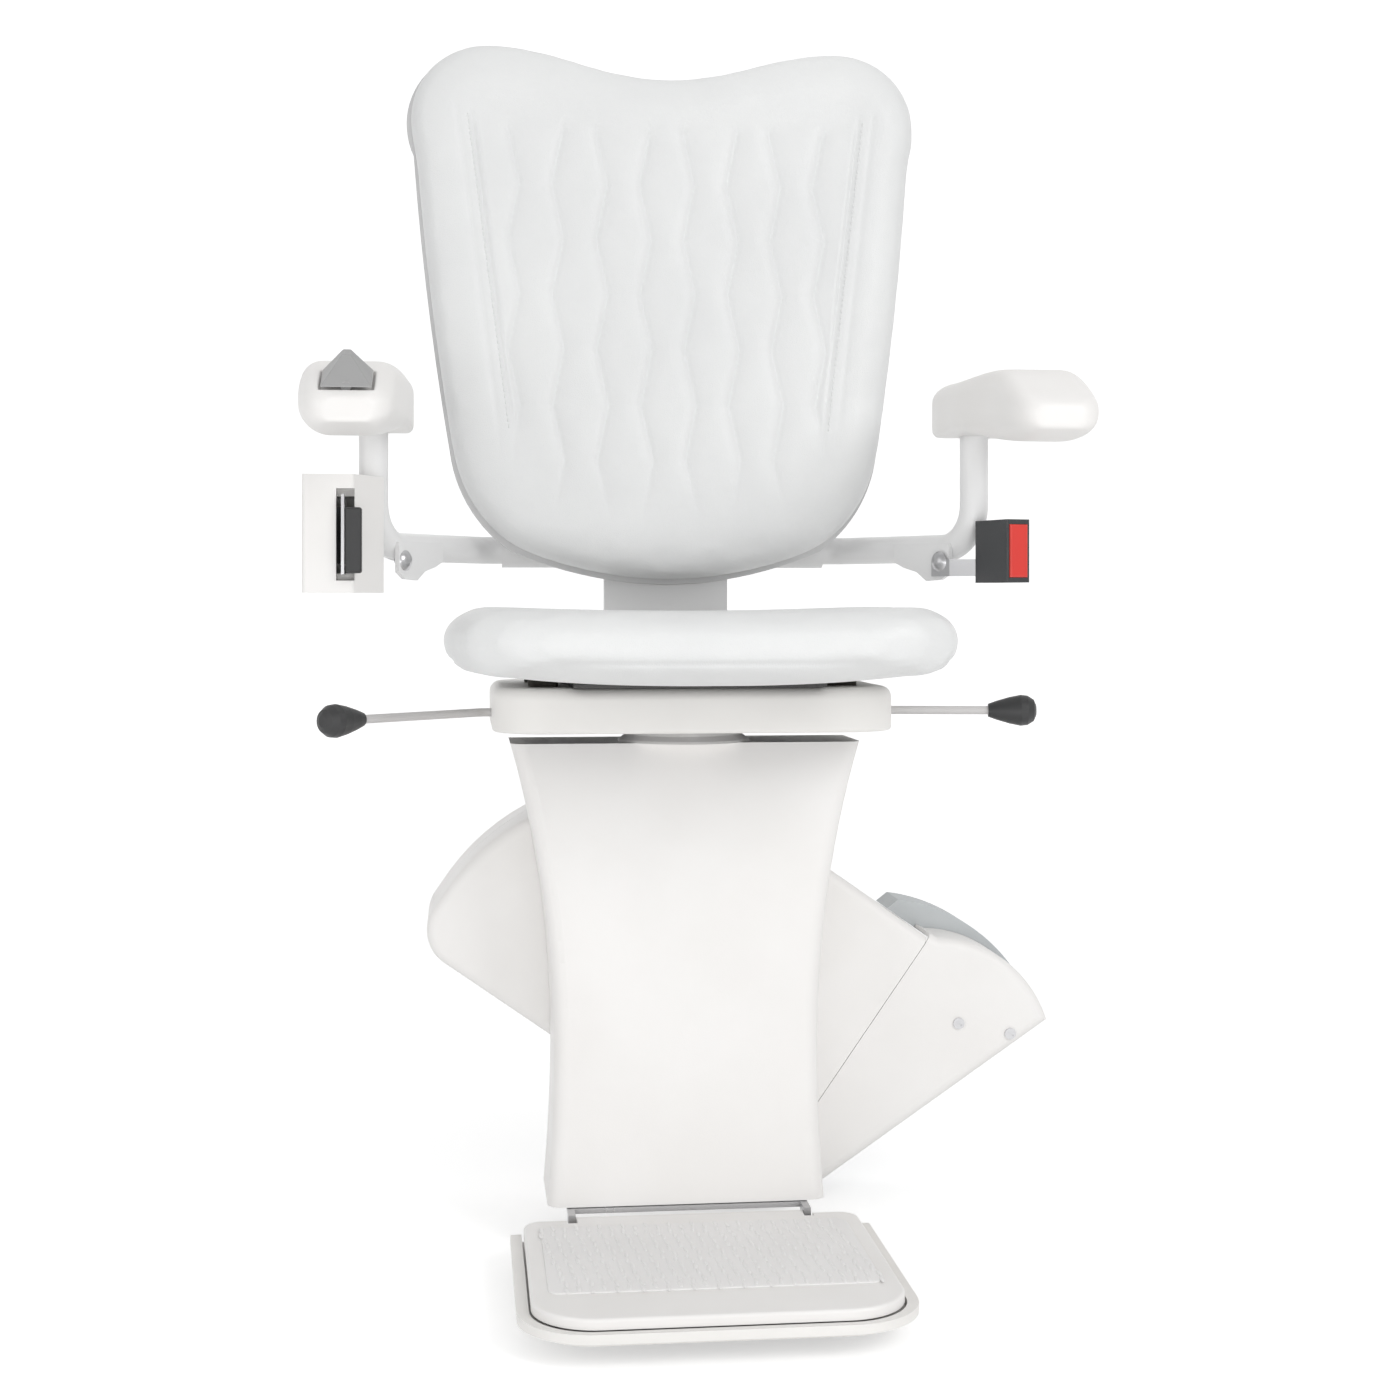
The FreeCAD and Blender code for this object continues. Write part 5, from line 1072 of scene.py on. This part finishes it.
class STAIRLIFT_OT_stitches(bpy.types.Operator):
    """Sews the two border seams of the quilted panel"""

    bl_idname = "stairlift.stitches"
    bl_label = "Border stitches"

    def execute(self, context):
        cushion = bpy.data.objects["backrest_upholstery"]
        graph = context.evaluated_depsgraph_get()
        skin = BVHTree.FromObject(cushion, graph)
        points, edges = [], []
        for side in (-1, 1):
            last = None
            for step in range(SEAM_STEPS + 1):
                z = SEAM_TOP - SEAM_TALL * step / SEAM_STEPS
                x = side * (float(border_line(np.array(z))) + SEAM_OUTSIDE)
                start = leaned(np.array([[x, SEAM_AHEAD, z]]))[0]
                hit, normal, *_ = skin.ray_cast(Vector(start), Vector((0, 1, 0)))
                if hit is None:
                    raise RuntimeError("the border seam misses the cushion")
                points.append(hit + normal * STITCH_LIFT)
                if last is not None:
                    edges.append((last, len(points) - 1))
                last = len(points) - 1
        mesh = bpy.data.meshes.new("border_stitches")
        mesh.from_pydata([tuple(p) for p in points], edges, [])
        row = bpy.data.objects.new("border_stitches", mesh)
        context.scene.collection.objects.link(row)
        tree = stitch_tree(finish_of("leather_white"))
        with_nodes(row, tree, {"Spacing": STITCH_SPACING})
        row.data.shade_smooth()
        dress(row, "seat_base", "leather_white")
        return {"FINISHED"}


# Finishes on the nodes that stay

class STAIRLIFT_OT_finishes(bpy.types.Operator):
    """Gives every kept node the finish of its slot"""

    bl_idname = "stairlift.finishes"
    bl_label = "Finishes"

    def execute(self, context):
        for row in frame["record"]["subparts"]:
            node = frame["nodes"][row["node"]]
            material = finish_of(row["material_slot"])
            if not node.material_slots:
                raise RuntimeError(row["node"] + " has no material slot")
            for slot in node.material_slots:
                slot.material = material
        return {"FINISHED"}


# Stage

def studio_paint(name, grey, glow):
    """A matt paint that the camera and mirrors see lifted to white."""
    material = bpy.data.materials.new(name)
    material.use_nodes = True
    tree = material.node_tree
    shader = tree.nodes["Principled BSDF"]
    shader.inputs["Base Color"].default_value = (grey, grey, grey, 1)
    shader.inputs["Roughness"].default_value = 0.9
    shader.inputs["Specular IOR Level"].default_value = 0.0
    rays = tree.nodes.new("ShaderNodeLightPath")
    seen = math_node(tree, "MAXIMUM", rays.outputs["Is Camera Ray"], rays.outputs["Is Glossy Ray"])
    seen = math_node(tree, "MAXIMUM", seen, rays.outputs["Is Transmission Ray"])
    shader.inputs["Emission Color"].default_value = (1, 1, 1, 1)
    tree.links.new(math_node(tree, "MULTIPLY", seen, glow), shader.inputs["Emission Strength"])
    return material


def area_lamp(name, place, aim, size, power):
    """A rectangular lamp turned towards its aim."""
    lamp = bpy.data.lights.new(name, "AREA")
    lamp.shape = "RECTANGLE"
    lamp.size, lamp.size_y = size
    lamp.energy = power
    holder = bpy.data.objects.new(name, lamp)
    bpy.context.scene.collection.objects.link(holder)
    holder.location = place
    holder.rotation_euler = (Vector(aim) - Vector(place)).to_track_quat("-Z", "Y").to_euler()


class STAIRLIFT_OT_stage(bpy.types.Operator):
    """Makes the floor, backdrop, lamps, world and camera"""

    bl_idname = "stairlift.stage"
    bl_label = "Stage"

    def execute(self, context):
        scene = context.scene
        chair = settings()
        self.sweep()
        self.room(scene, chair.world_light)
        area_lamp("Key softbox", (1.5, -2.2, 1.5), (0, -0.1, 0.25), (1.0, 1.2), chair.key_power)
        area_lamp("Left fill", (-2.4, -1.8, 0.7), (0, -0.1, 0.1), (1.6, 2.0), chair.fill_power)
        area_lamp("Top softbox", (0.2, 0.2, 2.8), (0, 0, 0.2), (2.0, 2.0), chair.top_power)
        area_lamp("Low fill", (-0.3, -2.6, -0.1), (0, 0, 0.35), (2.4, 0.7), chair.low_power)

        lens = bpy.data.cameras.new("Camera")
        lens.lens = 54.0
        lens.sensor_width = 36.0
        lens.shift_y = -0.0714
        eye = bpy.data.objects.new("Camera", lens)
        scene.collection.objects.link(eye)
        eye.location = (-0.188, -1.974, 0.300)
        eye.rotation_euler = (math.radians(90), 0, math.radians(-6.5))
        scene.camera = eye
        scene.view_settings.view_transform = "Standard"
        return {"FINISHED"}

    def sweep(self):
        """A floor that curves up into the backdrop behind the chair."""
        level = CAD_BOX[0].z - FLOOR_GAP
        profile = [(SWEEP_FRONT, level), (SWEEP_FOOT, level)]
        for step in range(1, 13):
            turn = math.radians(step * 7.5)
            profile.append((
                SWEEP_FOOT + SWEEP_ROUND * math.sin(turn),
                level + SWEEP_ROUND * (1 - math.cos(turn)),
            ))
        profile.append((SWEEP_FOOT + SWEEP_ROUND, SWEEP_TOP))
        points, faces = [], []
        for y, z in profile:
            points += [(-SWEEP_HALF, y, z), (SWEEP_HALF, y, z)]
        for i in range(len(profile) - 1):
            faces.append((2 * i, 2 * i + 1, 2 * i + 3, 2 * i + 2))
        floor = made("studio_sweep", points, faces)
        floor.data.materials.append(studio_paint("Studio White", 0.88, 0.42))

    def room(self, scene, strength):
        """Even room light, which the camera itself sees as white."""
        world = bpy.data.worlds.new("Studio")
        scene.world = world
        world.use_nodes = True
        back = world.node_tree.nodes["Background"]
        back.inputs["Color"].default_value = (1, 1, 1, 1)
        rays = world.node_tree.nodes.new("ShaderNodeLightPath")
        lift = span(world.node_tree, rays.outputs["Is Camera Ray"], 0, 1, strength, 1)
        world.node_tree.links.new(lift, back.inputs["Strength"])


class StairliftSettings(bpy.types.PropertyGroup):
    """Sizes and levels that a user would change."""

    quilt_pitch: bpy.props.FloatProperty(
        name="Line pitch", description="Distance between the sewn lines",
        default=0.040, unit="LENGTH")
    quilt_swing: bpy.props.FloatProperty(
        name="Line swing", description="Swing of a sewn line to each side",
        default=0.0052, unit="LENGTH")
    quilt_step: bpy.props.FloatProperty(
        name="Leg height", description="Height of one leg of the zigzag",
        default=0.051, unit="LENGTH")
    quilt_depth: bpy.props.FloatProperty(
        name="Sewn depth", description="How deep the sewn lines pull the panel in",
        default=0.0032, unit="LENGTH")
    quilt_lines: bpy.props.IntProperty(
        name="Sewn lines", description="Number of zigzag lines", default=8, min=2)
    panel_recess: bpy.props.FloatProperty(
        name="Panel recess", description="Quilted panel below the rolled rim",
        default=0.0050, unit="LENGTH")
    seat_dish: bpy.props.FloatProperty(
        name="Seat dish", description="Dish of the seat's top", default=0.004, unit="LENGTH")
    fill_pressure: bpy.props.FloatProperty(
        name="Filling", description="Inner pressure that swells the cushions", default=4.0)
    tread_columns: bpy.props.IntProperty(
        name="Tread columns", description="Dashes across the mat", default=26, min=2)
    tread_rows: bpy.props.IntProperty(
        name="Tread rows", description="Dashes along the mat", default=12, min=2)
    key_power: bpy.props.FloatProperty(
        name="Key softbox", description="Power of the key softbox", default=20.0, unit="POWER")
    fill_power: bpy.props.FloatProperty(
        name="Left fill", description="Power of the left fill", default=11.0, unit="POWER")
    top_power: bpy.props.FloatProperty(
        name="Top softbox", description="Power of the top softbox", default=7.0, unit="POWER")
    low_power: bpy.props.FloatProperty(
        name="Low fill", description="Power of the low front fill", default=17.0, unit="POWER")
    world_light: bpy.props.FloatProperty(
        name="Room light", description="Strength of the even room light", default=0.60)


class STAIRLIFT_PT_panel(bpy.types.Panel):
    """Lists the chair's pieces and sizes"""

    bl_idname = "STAIRLIFT_PT_panel"
    bl_label = "Stairlift chair"
    bl_space_type = "VIEW_3D"
    bl_region_type = "UI"
    bl_category = "Stairlift"

    def draw(self, context):
        chair = context.scene.stairlift
        for operator in OPERATORS:
            self.layout.operator(operator.bl_idname)
        for name in chair.bl_rna.properties.keys():
            if name not in ("rna_type", "name"):
                self.layout.prop(chair, name)


OPERATORS = (
    STAIRLIFT_OT_finishes,
    STAIRLIFT_OT_backrest,
    STAIRLIFT_OT_stitches,
    STAIRLIFT_OT_seat,
    STAIRLIFT_OT_arm_pads,
    STAIRLIFT_OT_tread,
    STAIRLIFT_OT_webbing,
    STAIRLIFT_OT_stage,
)
CLASSES = (StairliftSettings, *OPERATORS, STAIRLIFT_PT_panel)


def register():
    for kind in CLASSES:
        bpy.utils.register_class(kind)
    bpy.types.Scene.stairlift = bpy.props.PointerProperty(type=StairliftSettings)


def unregister():
    del bpy.types.Scene.stairlift
    for kind in reversed(CLASSES):
        bpy.utils.unregister_class(kind)


def main():
    register()
    for operator in OPERATORS:
        group, name = operator.bl_idname.split(".")
        getattr(getattr(bpy.ops, group), name)()


if __name__ == "__main__":
    main()
